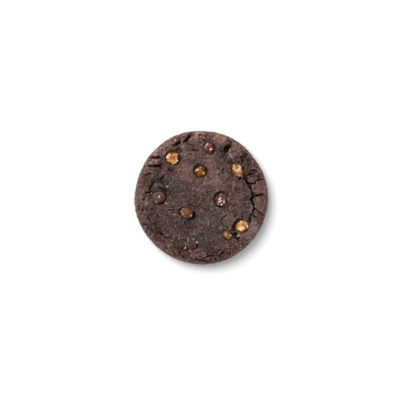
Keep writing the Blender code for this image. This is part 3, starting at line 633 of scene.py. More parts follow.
def bumps(point, size, rise):
    """Height at a point of uneven bumps of a size."""
    return rise * noise.noise(point / size)


def wobble(point, size, shift):
    """How far a point is shifted off its place."""
    return noise.noise_vector(point / size) * shift


def facing(direction, side, sharpness):
    """1 in the direction of a side, given in degrees, and less and less away from it."""
    return max(math.cos(direction - math.radians(side)), 0.0) ** sharpness


def top_height(radius):
    """Height of the turned form's top, from its flatter middle out to the rim's crest."""
    climb = smooth_step((radius - MIDDLE_RADIUS) / (CREST_RADIUS - MIDDLE_RADIUS))
    seam = SEAM_DEPTH * bell(radius - SEAM_RADIUS, SEAM_WIDTH)
    return MIDDLE_HEIGHT + (CREST_HEIGHT - MIDDLE_HEIGHT) * climb - seam


def profile_points():
    """(radius, height) from the middle of the top over the shoulder and down to the foot."""
    points = []
    for step in range(PROFILE_STEPS):
        radius = CREST_RADIUS * step / PROFILE_STEPS
        points.append((radius, top_height(radius)))
    for step in range(PROFILE_STEPS):
        angle = QUARTER_TURN * step / PROFILE_STEPS
        out = (RADIUS - CREST_RADIUS) * math.sin(angle)
        up = (CREST_HEIGHT - WIDEST_HEIGHT) * math.cos(angle)
        points.append((CREST_RADIUS + out, WIDEST_HEIGHT + up))
    for step in range(PROFILE_STEPS + 1):
        angle = QUARTER_TURN * step / PROFILE_STEPS
        out = (RADIUS - FOOT_RADIUS) * math.cos(angle)
        points.append((FOOT_RADIUS + out, WIDEST_HEIGHT * (1.0 - math.sin(angle))))
    return points


PROFILE = profile_points()


def profile_runs():
    """How long the profile is from the middle of the top to each of its points."""
    runs = [0.0]
    for (radius_a, height_a), (radius_b, height_b) in zip(PROFILE, PROFILE[1:]):
        runs.append(runs[-1] + math.hypot(radius_b - radius_a, height_b - height_a))
    return runs


RUNS = profile_runs()
TOP_RUN = RUNS[PROFILE_STEPS]


def on_profile(run):
    """Radius and height at a run along the profile, and its outward direction in that plane."""
    step = min(max(bisect_right(RUNS, run) - 1, 0), len(RUNS) - 2)
    share = (run - RUNS[step]) / (RUNS[step + 1] - RUNS[step])
    start = Vector(PROFILE[step])
    along = Vector(PROFILE[step + 1]) - start
    radius, height = start + along * share
    along.normalize()
    return radius, height, Vector((-along.y, along.x))


def spot_above(x, y):
    """The spot of the unrolled surface that lies at (x, y) in a view from above."""
    radius = math.hypot(x, y)
    upper = [point[0] for point in PROFILE[: 2 * PROFILE_STEPS]]
    step = min(bisect_right(upper, radius), len(upper) - 1)
    share = (radius - upper[step - 1]) / (upper[step] - upper[step - 1])
    run = RUNS[step - 1] + (RUNS[step] - RUNS[step - 1]) * share
    return Vector((x, y)) * (run / radius)


def outline(angle):
    """Radius of the outline in a direction, as a share of its mean."""
    radius = 1.0
    for count, share, turn in OUTLINE_WAVES:
        radius += share * math.cos(count * angle - math.radians(turn))
    return radius


# ------------------------------------------------------------------ relief of the crust
class Mark(NamedTuple):
    """A groove or a patch on the unrolled surface, in metres: the circle that it lies in, and its
    own values."""

    middle: Vector
    reach: float
    values: tuple


def in_cells(marks):
    """The marks, each in every square cell of the unrolled surface that its circle touches."""
    cells = {}
    for mark in marks:
        lowest = [math.floor((value - mark.reach) / CELL) for value in mark.middle]
        highest = [math.floor((value + mark.reach) / CELL) for value in mark.middle]
        for column in range(lowest[0], highest[0] + 1):
            for row in range(lowest[1], highest[1] + 1):
                cells.setdefault((column, row), []).append(mark)
    return cells


def in_reach(cells, spot):
    """The marks in the cell of a spot, that the spot may be inside of."""
    return cells.get((math.floor(spot.x / CELL), math.floor(spot.y / CELL)), ())


def inside(cells, spot):
    """The values of each patch that a spot is inside of, the patch's middle, and how far out in it
    the spot is, as a share of its radius."""
    for mark in in_reach(cells, spot):
        across = (spot - mark.middle).length / mark.reach
        if across < 1.0:
            yield mark.values, mark.middle, across


def grooves(lines):
    """The marks for a list of cracks, in cells. Half width, depth and route are their values."""
    marks = []
    for half_width, depth, *numbers in lines:
        route = [spot_above(x * MM, y * MM) for x, y in zip(numbers[::2], numbers[1::2])]
        middle = sum(route, Vector((0.0, 0.0))) / len(route)
        half_width *= CRACK_SPREAD * MM
        lip = (1.0 + CRACK_SWELL[1]) * LIP_REACH * half_width
        reach = max((point - middle).length for point in route) + lip
        marks.append(Mark(middle, reach, (half_width, depth * MM, route)))
    return in_cells(marks)


def patches(lines, spread=1.0):
    """The marks for a list of round patches, in cells, with what follows the radius as values."""
    marks = []
    for x, y, radius, *values in lines:
        marks.append(Mark(spot_above(x * MM, y * MM), radius * spread * MM, values))
    return in_cells(marks)


SHARP_GROOVES = grooves(CRACKS + CREASES)
SOFT_GROOVES = grooves(VALLEYS)
RAISED_GROOVES = grooves(RIDGES)
SPOT_MARKS = patches([Spot(*numbers) for numbers in CRUST_SPOTS], SPOT_SPREAD)
# The x of a patch of folds comes last once more, as the seed of its noise.
STREAK_MARKS = patches([(*numbers, numbers[0]) for numbers in STREAKS])
DOME_MARKS = patches(DOMES)
SMOOTH_MARKS = patches(SMOOTHS)
BAKE_AND_LIGHT_MARKS = patches(BAKE_AND_LIGHT_PATCHES)


def nearest_on_route(spot, route):
    """The point of a route that is nearest to a spot."""
    nearest = None
    for start, end in zip(route, route[1:]):
        along = end - start
        share = min(max((spot - start).dot(along) / along.length_squared, 0.0), 1.0)
        point = start + along * share
        if nearest is None or (spot - point).length < (spot - nearest).length:
            nearest = point
    return nearest


def groove_depth(spot, cells):
    """Depth of the deepest groove at a spot, and how much of a groove's lip the spot is."""
    deepest = lip = 0.0
    swell = 1.0 + bumps(spot.to_3d(), *CRACK_SWELL)
    for mark in in_reach(cells, spot):
        half_width, depth, route = mark.values
        point = nearest_on_route(spot, route)
        across = (spot - point).length / (half_width * swell)
        if across >= LIP_REACH:
            continue
        to_end = min((point - route[0]).length, (point - route[-1]).length)
        end = CRACK_END_SHARE + (1.0 - CRACK_END_SHARE) * smooth_step(to_end / CRACK_END)
        if across < 1.0:
            deepest = max(deepest, depth * end * (1.0 - across**CRACK_FLOOR) ** CRACK_WALL)
        else:
            lip = max(lip, end * math.sin(math.pi * (across - 1.0) / (LIP_REACH - 1.0)))
    return deepest, lip if deepest == 0.0 else 0.0


def spot_fall(across):
    """Share of a spot's height that is left this far out in it, and share of its tone."""
    fall = (1.0 - across * across) ** 2
    return fall, min(SPOT_CORE * fall, 1.0)


def spots_at(spot):
    """Height and tone that the crust's spots give together."""
    height = tone = 0.0
    for (own_tone, extra), _, across in inside(SPOT_MARKS, spot):
        fall, tone_fall = spot_fall(across)
        height += (own_tone * SPOT_RISE + extra * MM) * fall
        tone += own_tone * tone_fall
    return height, tone


def dome_at(spot):
    """Height and tone that the crust's round lumps give."""
    for (tone, height), _, across in inside(DOME_MARKS, spot):
        fall = (1.0 - across * across) ** DOME_POWER
        return height * MM * fall, tone * fall
    return 0.0, 0.0


def streak_height(spot):
    """Height of the long folds at a spot, with a narrow crease on either side of a fold."""
    height = 0.0
    width, depth = STREAK_CREASE
    for (direction, spacing, rise, seed), middle, across in inside(STREAK_MARKS, spot):
        lain = Matrix.Rotation(math.radians(-direction), 2) @ (spot - middle)
        lain /= spacing * MM
        fold = noise.noise(Vector((lain.x / STREAK_LENGTH, lain.y, seed)))
        fold = 2.0 * fold - depth * bell(fold, width)
        height += rise * MM * fold * (1.0 - across * across)
    return height


def roughness_at(spot):
    """Share of the finer relief that a spot has: less in the smooth patches."""
    share = 1.0
    for (calm,), _, across in inside(SMOOTH_MARKS, spot):
        share *= 1.0 - calm * smooth_step(SMOOTH_EDGE * (1.0 - across))
    return share


def bake_and_light_at(spot):
    """How much lighter, partly as painted light and shade, how much redder and how much nearer to
    plum the crust is at a spot.
    """
    bake_and_light = [0.0, 0.0, 0.0]
    for changes, _, across in inside(BAKE_AND_LIGHT_MARKS, spot):
        fall = smooth_step(BAKE_AND_LIGHT_EDGE * (1.0 - across))
        bake_and_light = [value + change * fall for value, change in zip(bake_and_light, changes)]
    return bake_and_light


def fold_height(point):
    """Small soft folds of the crust, parted by narrow creases."""
    level = noise.noise((point + wobble(point, *FOLD_WOBBLE)) / FOLD_SIZE)
    strength = FOLD_STRENGTH + bumps(point, *FOLD_SWELL)
    return -CREASE_DEPTH * strength * bell(level, CREASE_WIDTH)


def pit_depth(point):
    """Small round pits at uneven places."""
    distances, centres = noise.voronoi(point / PIT_SPACING)
    chosen = noise.cell(centres[0] * PIT_PICK) < PIT_SHARE
    across = distances[0] * PIT_SPACING / PIT_RADIUS
    if not chosen or across >= 1.0:
        return 0.0
    return PIT_DEPTH * (1.0 - across * across)


def fine_relief(point):
    """The finer relief of the crust at a point of its turned form."""
    height = fold_height(point) - pit_depth(point)
    return height + bumps(point, *LUMPS) + bumps(point, *CRUMB)


SOCKET_PLACES = []
for chip_name, chip_values in CHIPS.items():
    lowest_corner, highest_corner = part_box(chip_name)
    stains = chip_name.startswith("caramel")
    SOCKET_PLACES.append((lowest_corner, highest_corner, chip_values, stains))


def beside_chip(point, middle, chip):
    """Distance of a point from a chip's outline in a view from above, and the direction to it."""
    offset = Vector((point.x - middle.x, point.y - middle.y))
    direction = math.atan2(offset.y, offset.x)
    lean = direction - math.radians(chip.turn)
    across = Vector((math.cos(lean) / chip.half_length, math.sin(lean) / chip.half_breadth)).length
    return offset.length - MM / across, direction


def sink_socket(point):
    """The crust's point, lowered into the socket of a chip near it or raised to the socket's lip.
    With it come how much painted shade the gap round the chip gets there, and how stained."""
    for low, high, chip, stains in SOCKET_PLACES:
        middle = (low + high) / 2
        outside, direction = beside_chip(point, middle, chip)
        if outside > SOCKET_REACH:
            continue
        extra = 0.0
        for side, width in chip.open_sides:
            extra += width * facing(direction, side, OPEN_SHARPNESS)
        extra *= 1.0 + bumps(point, *RING_BLOTS)
        openness = min(extra / OPEN_WIDTH, 1.0)
        level = chip.closed_level + (OPEN_LEVEL - chip.closed_level) * openness
        floor = min(middle.z + level * (high.z - middle.z), point.z)
        wall = smooth_step((outside - (chip.gap + extra) * MM) / SOCKET_WALL)
        lip = SOCKET_LIP * bell(outside - LIP_DISTANCE, LIP_WIDTH)
        place = Vector((point.x, point.y, floor + (point.z + lip - floor) * wall))
        # Painted shade in the gap round the chip, darker where it is open.
        hollow_shade = (1.0 - wall) * (CLOSED_HOLLOW_SHADE + (1.0 - CLOSED_HOLLOW_SHADE) * openness)
        stain = smooth_step(1.0 - outside / STAIN_WIDTH) if stains else 0.0
        return place, hollow_shade, stain
    return point, 0.0, 0.0


# The values for the finish that a point of the crust has: the painted shade of a crack or of the gap
# round a chip, its tone with painted shade and light, how far it is rim, how stained with caramel,
# how light, partly as painted light, how red, and how near to plum.
CRUST_VALUES = ("hollow_shade", "tone", "rim", "stain", "shade", "warmth", "plum")


def crust_point(spot):
    """The crust's place at a spot of the unrolled surface, and its values for the finish."""
    angle = math.atan2(spot.y, spot.x)
    radius, height, out = on_profile(spot.length)
    rim = smooth_step((radius / RADIUS - RIM_START) / (RIM_END - RIM_START))
    edge = smooth_step((radius / RADIUS - EDGE_START) / (1.0 - EDGE_START))
    radius *= outline(angle)
    point = Vector((radius * math.cos(angle), radius * math.sin(angle), height))
    outward = Vector((out.x * math.cos(angle), out.x * math.sin(angle), out.y))
    up = max(out.y, 0.0)
    uneven = SIDE_SHARE + (1.0 - SIDE_SHARE) * up
    wandered = spot + wobble(point, *CRACK_WOBBLE).xy
    cracks, lip = groove_depth(wandered, SHARP_GROOVES)
    ridges = groove_depth(wandered, RAISED_GROOVES)[0]
    valleys = groove_depth(spot, SOFT_GROOVES)[0]
    spots, tone = spots_at(spot + wobble(point, *SPOT_WOBBLE).xy)
    dome, dome_tone = dome_at(spot)
    fine = fine_relief(point) * roughness_at(spot) * (1.0 + RIM_ROUGHNESS * rim)
    fine += streak_height(spot)
    relief = spots + dome + ridges + lip * CRACK_LIP - cracks - valleys
    relief += fine * (SIDE_ROUGHNESS + (1.0 - SIDE_ROUGHNESS) * up)
    relief += uneven * (bumps(point, *SWELLS) + bumps(point, *WRINKLES))
    point += outward * relief * smooth_step(height / FADE_HEIGHT)
    place, hollow_shade, stain = sink_socket(point)
    # Painted shade in cracks and in the gaps round chips, whichever is darker.
    hollow_shade = max(min(cracks / CRACK_SHADE, 1.0), hollow_shade)
    # Painted highlights on ridges and crack lips, and painted shade and light from the finer relief,
    # go into the tone.
    tone += dome_tone + (ridges + RELIEF_SHADE_AND_LIGHT * fine) / MM + lip * CRACK_LIP_HIGHLIGHT
    # Patches of baking colour with painted light and shade.
    shade, warmth, plum = bake_and_light_at(spot)
    # Painted light on the outermost edge, with its paler baked side.
    shade += EDGE_PALENESS_AND_LIGHT * edge
    return place, (hollow_shade, tone, rim, stain, shade, warmth, plum)


# ------------------------------------------------------------------ meshes
def unroll_hexagon(corner):
    """Ring and turn for a vertex of the flat unit hexagon of triangles, whose rings become circles.
    The hexagon has a corner on the X axis."""
    if corner.length == 0.0:
        return 0.0, 0.0
    angle = math.atan2(corner.y, corner.x) % (2 * math.pi)
    sector = math.floor(angle / SIXTH_TURN)
    lean = angle - sector * SIXTH_TURN
    ring = corner.length * (math.cos(lean) + math.sin(lean) / math.sqrt(3))
    share = 2.0 * corner.length * math.sin(lean) / (math.sqrt(3) * ring)
    return ring, (sector + share) * SIXTH_TURN


def ring_run(ring):
    """The run along the profile for a ring of the hexagon: the rings are closer on the top."""
    edge = TOP_RINGS / RINGS
    if ring < edge:
        return TOP_RUN * ring / edge
    return TOP_RUN + (RUNS[-1] - TOP_RUN) * (ring - edge) / (1.0 - edge)


def hexagon_fan(bm, rings):
    """A flat unit hexagon of triangles in a bmesh, and its new vertices."""
    corner_on_x = Matrix.Rotation(QUARTER_TURN, 4, "Z")
    others = len(bm.verts)
    made = bmesh.ops.create_circle(
        bm, cap_ends=True, cap_tris=True, segments=6, radius=1.0, matrix=corner_on_x
    )
    edges = {edge for vertex in made["verts"] for edge in vertex.link_edges}
    bmesh.ops.subdivide_edges(bm, edges=list(edges), cuts=rings - 1, use_grid_fill=True)
    bm.verts.ensure_lookup_table()
    return bm.verts[others:]


def add_piece(name, bm, material):
    """A smooth object at the origin from a finished bmesh."""
    mesh = bpy.data.meshes.new(name)
    bm.to_mesh(mesh)
    bm.free()
    mesh.materials.append(material)
    mesh.shade_smooth()
    piece = bpy.data.objects.new(name, mesh)
    bpy.context.scene.collection.objects.link(piece)
    return piece


def base_point(ring, turn):
    """A point of the underside: flat on the surface below it, with shallow baked hollows."""
    radius = FOOT_RADIUS * BASE_SHARE * ring * outline(turn)
    point = Vector((radius * math.cos(turn), radius * math.sin(turn), 0.0))
    point.z = max(bumps(point, *BASE_RELIEF), 0.0)
    return point


def make_crust(material):
    """The baked dough: crust over the top and the side, and a base closed under it."""
    bm = bmesh.new()
    layers = {name: bm.verts.layers.float.new(name) for name in CRUST_VALUES}
    for vertex in hexagon_fan(bm, RINGS):
        ring, turn = unroll_hexagon(vertex.co)
        spot = Vector((math.cos(turn), math.sin(turn))) * ring_run(ring)
        vertex.co, values = crust_point(spot)
        for layer, value in zip(layers.values(), values):
            vertex[layer] = value
    for vertex in hexagon_fan(bm, BASE_RINGS):
        vertex.co = base_point(*unroll_hexagon(vertex.co))
        vertex[layers["rim"]] = 1.0
    bmesh.ops.bridge_loops(bm, edges=[edge for edge in bm.edges if edge.is_boundary])
    bmesh.ops.recalc_face_normals(bm, faces=bm.faces[:])
    crust = add_piece("baked_dough", bm, material)
    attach(crust, "root")
    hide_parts("cookie")


def chip_form(ball, chip, half_height, seed):
    """The point of a chip for a point of the unit ball, about the chip's middle."""
    level = math.hypot(ball.x, ball.y)
    full = max(level, CHIP_POLE) ** (CHIP_FULLNESS - 1.0)
    bump = noise.noise(ball / CHIP_BUMP_SIZE + seed)
    form = Vector((ball.x * full, ball.y * full, ball.z)) * (1.0 + CHIP_UNEVENNESS * bump)
    direction = math.atan2(ball.y, ball.x) + math.radians(chip.turn)
    bulge = 0.0
    for side, share in chip.bulges:
        bulge += share * level * facing(direction, side, BULGE_SHARPNESS)
    form *= 1.0 + bulge
    form.x *= (chip.half_length + CHIP_GROWTH) * MM
    form.y *= (chip.half_breadth + CHIP_GROWTH) * MM
    form.z *= half_height
    form.rotate(Matrix.Rotation(math.radians(chip.turn), 3, "Z"))
    return form


def chip_spots_at(point, spots):
    """Height and tone that a chip's spots give together at a point."""
    height = tone = 0.0
    wandered = point + wobble(point, *SPOT_WOBBLE)
    for spot in spots:
        across = math.hypot(wandered.x - spot.x * MM, wandered.y - spot.y * MM)
        across /= spot.radius * SPOT_SPREAD * MM
        if across < 1.0:
            fall, tone_fall = spot_fall(across)
            height += spot.tone * CHIP_SPOT_RISE * fall
            tone += spot.tone * tone_fall
    return height, tone


def chip_relief(point):
    """Fine creases and grain of a chip's surface."""
    size, depth = CHIP_CREASES
    crease = depth * bell(noise.noise(point / size), CHIP_CREASE_WIDTH)
    return bumps(point, *CHIP_GRAIN) - crease


def make_chip(name, chip, material):
    """A chip at its solid's place, with its bumps, dents and a flank darkened with painted shade."""
    low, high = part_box(name)
    middle = (low + high) / 2
    half_height = (high.z - low.z) / 2
    seed = Vector((middle.x / MM, middle.y / MM, 0.0))
    spots = [Spot(*numbers) for numbers in CHIP_SPOTS[name]]
    bm = bmesh.new()
    tone = bm.verts.layers.float.new("tone")
    edge = bm.verts.layers.float.new("edge")
    bmesh.ops.create_icosphere(bm, subdivisions=CHIP_DETAIL, radius=1.0)
    for vertex in bm.verts:
        ball = vertex.co.copy()
        point = middle + chip_form(ball, chip, half_height, seed)
        outward = (point - middle).normalized()
        share = max(ball.z, 0.0)
        height, spot_tone = chip_spots_at(point, spots)
        rough = fine_relief(point) * chip.roughness
        height = (height + rough) * smooth_step(SPOT_FADE * share)
        vertex.co = point + outward * (height + chip_relief(point))
        # The tone paints shade into the dents and highlights onto the bumps.
        vertex[tone] = (spot_tone + RELIEF_SHADE_AND_LIGHT * rough / MM) * smooth_step(TONE_FADE * share)
        # Painted shade down the flank, where the chip dips into its socket.
        blot = 1.0 + bumps(point, *FLANK_SHADE_BLOTS)
        vertex[edge] = (1.0 - smooth_step((share - FLANK_SHADE_TO) / (FLANK_SHADE_FROM - FLANK_SHADE_TO))) * blot
    piece = add_piece(f"baked_{name}", bm, material)
    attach(piece, "root")
    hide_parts(name)


# ------------------------------------------------------------------ finishes
def add_node(tree, kind, inputs, **settings):
    """A node with its settings and inputs. An input is a value or another node's output."""
    node = tree.nodes.new(kind)
    for name, value in settings.items():
        setattr(node, name, value)
    for name, value in inputs.items():
        if isinstance(value, bpy.types.NodeSocket):
            tree.links.new(value, node.inputs[name])
        else:
            node.inputs[name].default_value = value
    return node


def mixed(tree, share, first, second, blend="MIX"):
    """A colour between two colours, or the first one blended with the second in another way."""
    inputs = {0: share, 6: first, 7: second}
    return add_node(tree, "ShaderNodeMix", inputs, data_type="RGBA", blend_type=blend).outputs[2]


def brightened(tree, colour, factor):
    """A colour times a value."""
    return mixed(tree, 1.0, colour, factor, "MULTIPLY")


def calculated(tree, operation, first, second):
    """The result of a sum on two values."""
    inputs = {0: first, 1: second}
    return add_node(tree, "ShaderNodeMath", inputs, operation=operation).outputs[0]


def mapped(tree, value, low, high, to_low=0.0, to_high=1.0):
    """A value moved from one range to another, and kept inside it."""
    inputs = {0: value, 1: low, 2: high, 3: to_low, 4: to_high}
    return add_node(tree, "ShaderNodeMapRange", inputs, clamp=True).outputs[0]


def clouds(tree, place, scale, detail, roughness=0.5, distortion=0.0):
    """Soft uneven clouds, from 0 to 1."""
    inputs = {"Vector": place, "Scale": scale, "Detail": detail}
    inputs |= {"Roughness": roughness, "Distortion": distortion}
    return add_node(tree, "ShaderNodeTexNoise", inputs).outputs["Fac"]


def attribute(tree, name):
    """A value stored on the mesh."""
    return add_node(tree, "ShaderNodeAttribute", {}, attribute_name=name).outputs["Fac"]


def object_place(tree):
    """A point's place in the object."""
    return add_node(tree, "ShaderNodeTexCoord", {}).outputs["Object"]


def new_group(name, inputs, outputs):
    """A node group with its sockets, given as (name, kind), and its input and output nodes."""
    group = bpy.data.node_groups.new(name, "ShaderNodeTree")
    for in_out, sockets in (("INPUT", inputs), ("OUTPUT", outputs)):
        for label, kind in sockets:
            group.interface.new_socket(label, in_out=in_out, socket_type=kind)
    given = group.nodes.new("NodeGroupInput").outputs
    return group, given, group.nodes.new("NodeGroupOutput").inputs


def use_group(tree, group, inputs):
    """A node group's outputs, with its inputs."""
    return add_node(tree, "ShaderNodeGroup", inputs, node_tree=group).outputs


# How fast a tone below zero turns dark, and one above it pale.
DARK_POWER = 0.8
PALE_POWER = 1.4

# The grain's clouds, and how much finer its crumb is.
GRAIN_DETAIL = 5.0
GRAIN_ROUGHNESS = 0.65
CRUMB_FINENESS = 2.6


def tone_group():
    """Turns a tone into a colour: dark below zero, the plain colour at zero, pale above. The dark
    end carries painted shade and the pale end painted highlights, as well as real flecks.
    """
    colour = "NodeSocketColor"
    inputs = (("Colour", colour), ("Dark and shade", colour), ("Pale and highlight", colour), ("Tone and painted light", "NodeSocketFloat"))
    group, given, result = new_group("tone to colour", inputs, (("Colour", colour),))
    darkness = calculated(group, "POWER", mapped(group, given["Tone and painted light"], 0.0, -1.0), DARK_POWER)
    paleness = calculated(group, "POWER", mapped(group, given["Tone and painted light"], 0.0, 1.0), PALE_POWER)
    darkened = mixed(group, darkness, given["Colour"], given["Dark and shade"])
    group.links.new(mixed(group, paleness, darkened, given["Pale and highlight"]), result["Colour"])
    return group


def grain_group():
    """Uneven grain: a mottling around one, and a height for the bump."""
    number = "NodeSocketFloat"
    inputs = (("Vector", "NodeSocketVector"), ("Scale", number), ("Contrast", number))
    group, given, result = new_group("grain", inputs, (("Mottle", number), ("Height", number)))
    place = given["Vector"]
    cloud = clouds(group, place, given["Scale"], GRAIN_DETAIL, GRAIN_ROUGHNESS)
    centred = calculated(group, "SUBTRACT", cloud, 0.5)
    swing = calculated(group, "MULTIPLY", centred, given["Contrast"])
    group.links.new(calculated(group, "ADD", swing, 1.0), result["Mottle"])
    finer = calculated(group, "MULTIPLY", given["Scale"], CRUMB_FINENESS)
    crumb = add_node(group, "ShaderNodeTexVoronoi", {"Vector": place, "Scale": finer})
    height = calculated(group, "ADD", cloud, crumb.outputs["Distance"])
    group.links.new(height, result["Height"])
    return group


def new_material(name):
    """A material, its tree and its Principled BSDF."""
    material = bpy.data.materials.new(name)
    material.use_nodes = True
    return material, material.node_tree, material.node_tree.nodes["Principled BSDF"]


def roughened(tree, shader, strength, distance, height):
    """Gives a shader a bump."""
    inputs = {"Strength": strength, "Distance": distance, "Height": height}
    bump = add_node(tree, "ShaderNodeBump", inputs).outputs["Normal"]
    tree.links.new(bump, shader.inputs["Normal"])


DOUGH_BROWN = (0.0928, 0.0551, 0.0468, 1.0)
DOUGH_GREY = (0.0694, 0.0553, 0.0495, 1.0)
DOUGH_RED = (0.1122, 0.0514, 0.0413, 1.0)
DOUGH_PLUM = (0.0969, 0.0591, 0.0638, 1.0)
DOUGH_OLIVE = (0.0877, 0.0662, 0.0407, 1.0)
DOUGH_RIM = (0.1376, 0.0757, 0.0616, 1.0)
# Tone below zero darkens towards this, as dark flecks and painted shade in dents; tone above zero
# pales towards the next, as pale flecks and painted highlights.
DOUGH_DARK_AND_SHADE = (0.014, 0.0050, 0.0040, 1.0)
DOUGH_PALE_AND_HIGHLIGHT = (0.46, 0.36, 0.34, 1.0)
# Painted shade in cracks and in the gaps round chips: nearly black, redder on the rim, amber where
# caramel has soaked in.
DOUGH_HOLLOW_SHADE = (0.010, 0.0024, 0.0018, 1.0)
RIM_HOLLOW_SHADE = (0.015, 0.0036, 0.0032, 1.0)
DOUGH_STAIN = (0.072, 0.042, 0.021, 1.0)
STAINED_HOLLOW_SHADE = (0.058, 0.026, 0.007, 1.0)
STAIN_SHARE = 0.8

# Clouds that lay the patches out: their scale, detail, roughness and distortion.
GREY_CLOUDS = (120.0, 3.0, 0.6)
HUE_CLOUDS = (130.0, 1.5, 0.5, 1.0)
RED_CLOUDS = (190.0, 3.0, 0.6, 0.8)

# Ranges: from and to of a cloud or a stored value, and what those two give.
GREY_RANGE = (0.42, 0.62)
RED_RANGE = (0.50, 0.66, 0.0, 0.7)
HUE_RANGE = (0.30, 0.70, -1.0, 1.1)
RIM_RANGE = (-1.0, 0.0, 0.1, 0.7)
ROUGHNESS_RANGE = (0.35, 0.65, 0.40, 0.65)

# How far the dough's brown goes towards each of its other colours at most.
GREY_SHARE = 0.8
RED_SHARE = 0.9
PLUM_SHARE = 0.60
OLIVE_SHARE = 0.50

# The dough's two grains: their scale, and their contrast from the middle to the rim. The finer one
# is calmer low on the side.
COARSE_SCALE = 260.0
COARSE_CONTRAST = (0.0, 1.0, 0.60, 1.20)
FINE_SCALE = 850.0
FINE_CONTRAST = (0.0, 1.0, 4.1, 4.6)
SIDE_CALM = (3.0 * MM, 9.0 * MM, 0.5, 1.0)
DOUGH_GLOSS = 0.05
DOUGH_BUMP = (0.8, 0.18 * MM)


def dough_colour(tree, place, red):
    """The baked dough's own colour: brown with grey, red, plum and olive patches."""
    grey = mapped(tree, clouds(tree, place, *GREY_CLOUDS), *GREY_RANGE)
    drift = mapped(tree, clouds(tree, place, *HUE_CLOUDS), *HUE_RANGE)
    warmth = attribute(tree, "warmth")
    greyer = calculated(tree, "SUBTRACT", grey, warmth)
    redder = calculated(tree, "ADD", mapped(tree, red, *RED_RANGE), warmth)
    hue = calculated(tree, "ADD", drift, attribute(tree, "plum"))
    colour = DOUGH_BROWN
    for value, full, share, tint in (
        (greyer, 1.0, GREY_SHARE, DOUGH_GREY),
        (redder, 1.0, RED_SHARE, DOUGH_RED),
        (hue, 1.0, PLUM_SHARE, DOUGH_PLUM),
        (hue, -1.0, OLIVE_SHARE, DOUGH_OLIVE),
    ):
        colour = mixed(tree, mapped(tree, value, 0.0, full, 0.0, share), colour, tint)
    return colour


def dough_material(tones, grain):
    """Dark baked cocoa dough, paler on the rim, stained beside caramel, with painted shade nearly
    black in cracks and in the gaps round chips.
    """
    material, tree, shader = new_material("baked cocoa dough")
    place = object_place(tree)
    red = clouds(tree, place, *RED_CLOUDS)
    rim = attribute(tree, "rim")
    paler = mapped(tree, attribute(tree, "warmth"), *RIM_RANGE)
    paler = calculated(tree, "MULTIPLY", rim, paler)
    colour = mixed(tree, paler, dough_colour(tree, place, red), DOUGH_RIM)
    colour = brightened(tree, colour, calculated(tree, "ADD", attribute(tree, "shade"), 1.0))
    contrast = mapped(tree, rim, *COARSE_CONTRAST)
    coarse = {"Vector": place, "Scale": COARSE_SCALE, "Contrast": contrast}
    colour = brightened(tree, colour, use_group(tree, grain, coarse)["Mottle"])
    height = add_node(tree, "ShaderNodeSeparateXYZ", {0: place}).outputs["Z"]
    calmer = mapped(tree, height, *SIDE_CALM)
    contrast = calculated(tree, "MULTIPLY", mapped(tree, rim, *FINE_CONTRAST), calmer)
    fine = {"Vector": place, "Scale": FINE_SCALE, "Contrast": contrast}
    surface = use_group(tree, grain, fine)
    colour = brightened(tree, colour, surface["Mottle"])
    stain = attribute(tree, "stain")
    colour = mixed(tree, calculated(tree, "MULTIPLY", stain, STAIN_SHARE), colour, DOUGH_STAIN)
    # The tone's painted shade and highlights, with the crust's own dark and pale flecks.
    tone = {"Colour": colour, "Dark and shade": DOUGH_DARK_AND_SHADE, "Pale and highlight": DOUGH_PALE_AND_HIGHLIGHT}
    tone["Tone and painted light"] = attribute(tree, "tone")
    colour = use_group(tree, tones, tone)["Colour"]
    # Painted shade in cracks and in the gaps round chips.
    hollow_shade_colour = mixed(tree, rim, DOUGH_HOLLOW_SHADE, RIM_HOLLOW_SHADE)
    hollow_shade_colour = mixed(tree, stain, hollow_shade_colour, STAINED_HOLLOW_SHADE)
    colour = mixed(tree, attribute(tree, "hollow_shade"), colour, hollow_shade_colour)
    tree.links.new(colour, shader.inputs["Base Color"])
    tree.links.new(mapped(tree, red, *ROUGHNESS_RANGE), shader.inputs["Roughness"])
    shader.inputs["Specular IOR Level"].default_value = DOUGH_GLOSS
    roughened(tree, shader, *DOUGH_BUMP, surface["Height"])
    return material


class Finish(NamedTuple):
    """A kind of chip's colours, in its dents, down its flank and on its bumps, its roughness and
    gloss. The dents' colour is painted shade with burnt caramel on the caramel chips, the flank's is
    painted shade, and the bumps' is painted highlights.
    """

    dark_and_shade: tuple
    edge: tuple
    pale_and_highlight: tuple
    roughness: float
    gloss: float


FINISHES = {
    "caramel": Finish(
        (0.078, 0.022, 0.002, 1.0), (0.070, 0.026, 0.006, 1.0), (0.84, 0.61, 0.42, 1.0), 0.36, 0.15
    ),
    "chocolate": Finish(
        (0.012, 0.004, 0.003, 1.0), (0.030, 0.011, 0.008, 1.0), (0.80, 0.58, 0.52, 1.0), 0.42, 0.20
    ),
}
CHIP_SCALE = 900.0
CHIP_CONTRAST = 1.6
CHIP_BUMP = (0.35, 0.10 * MM)


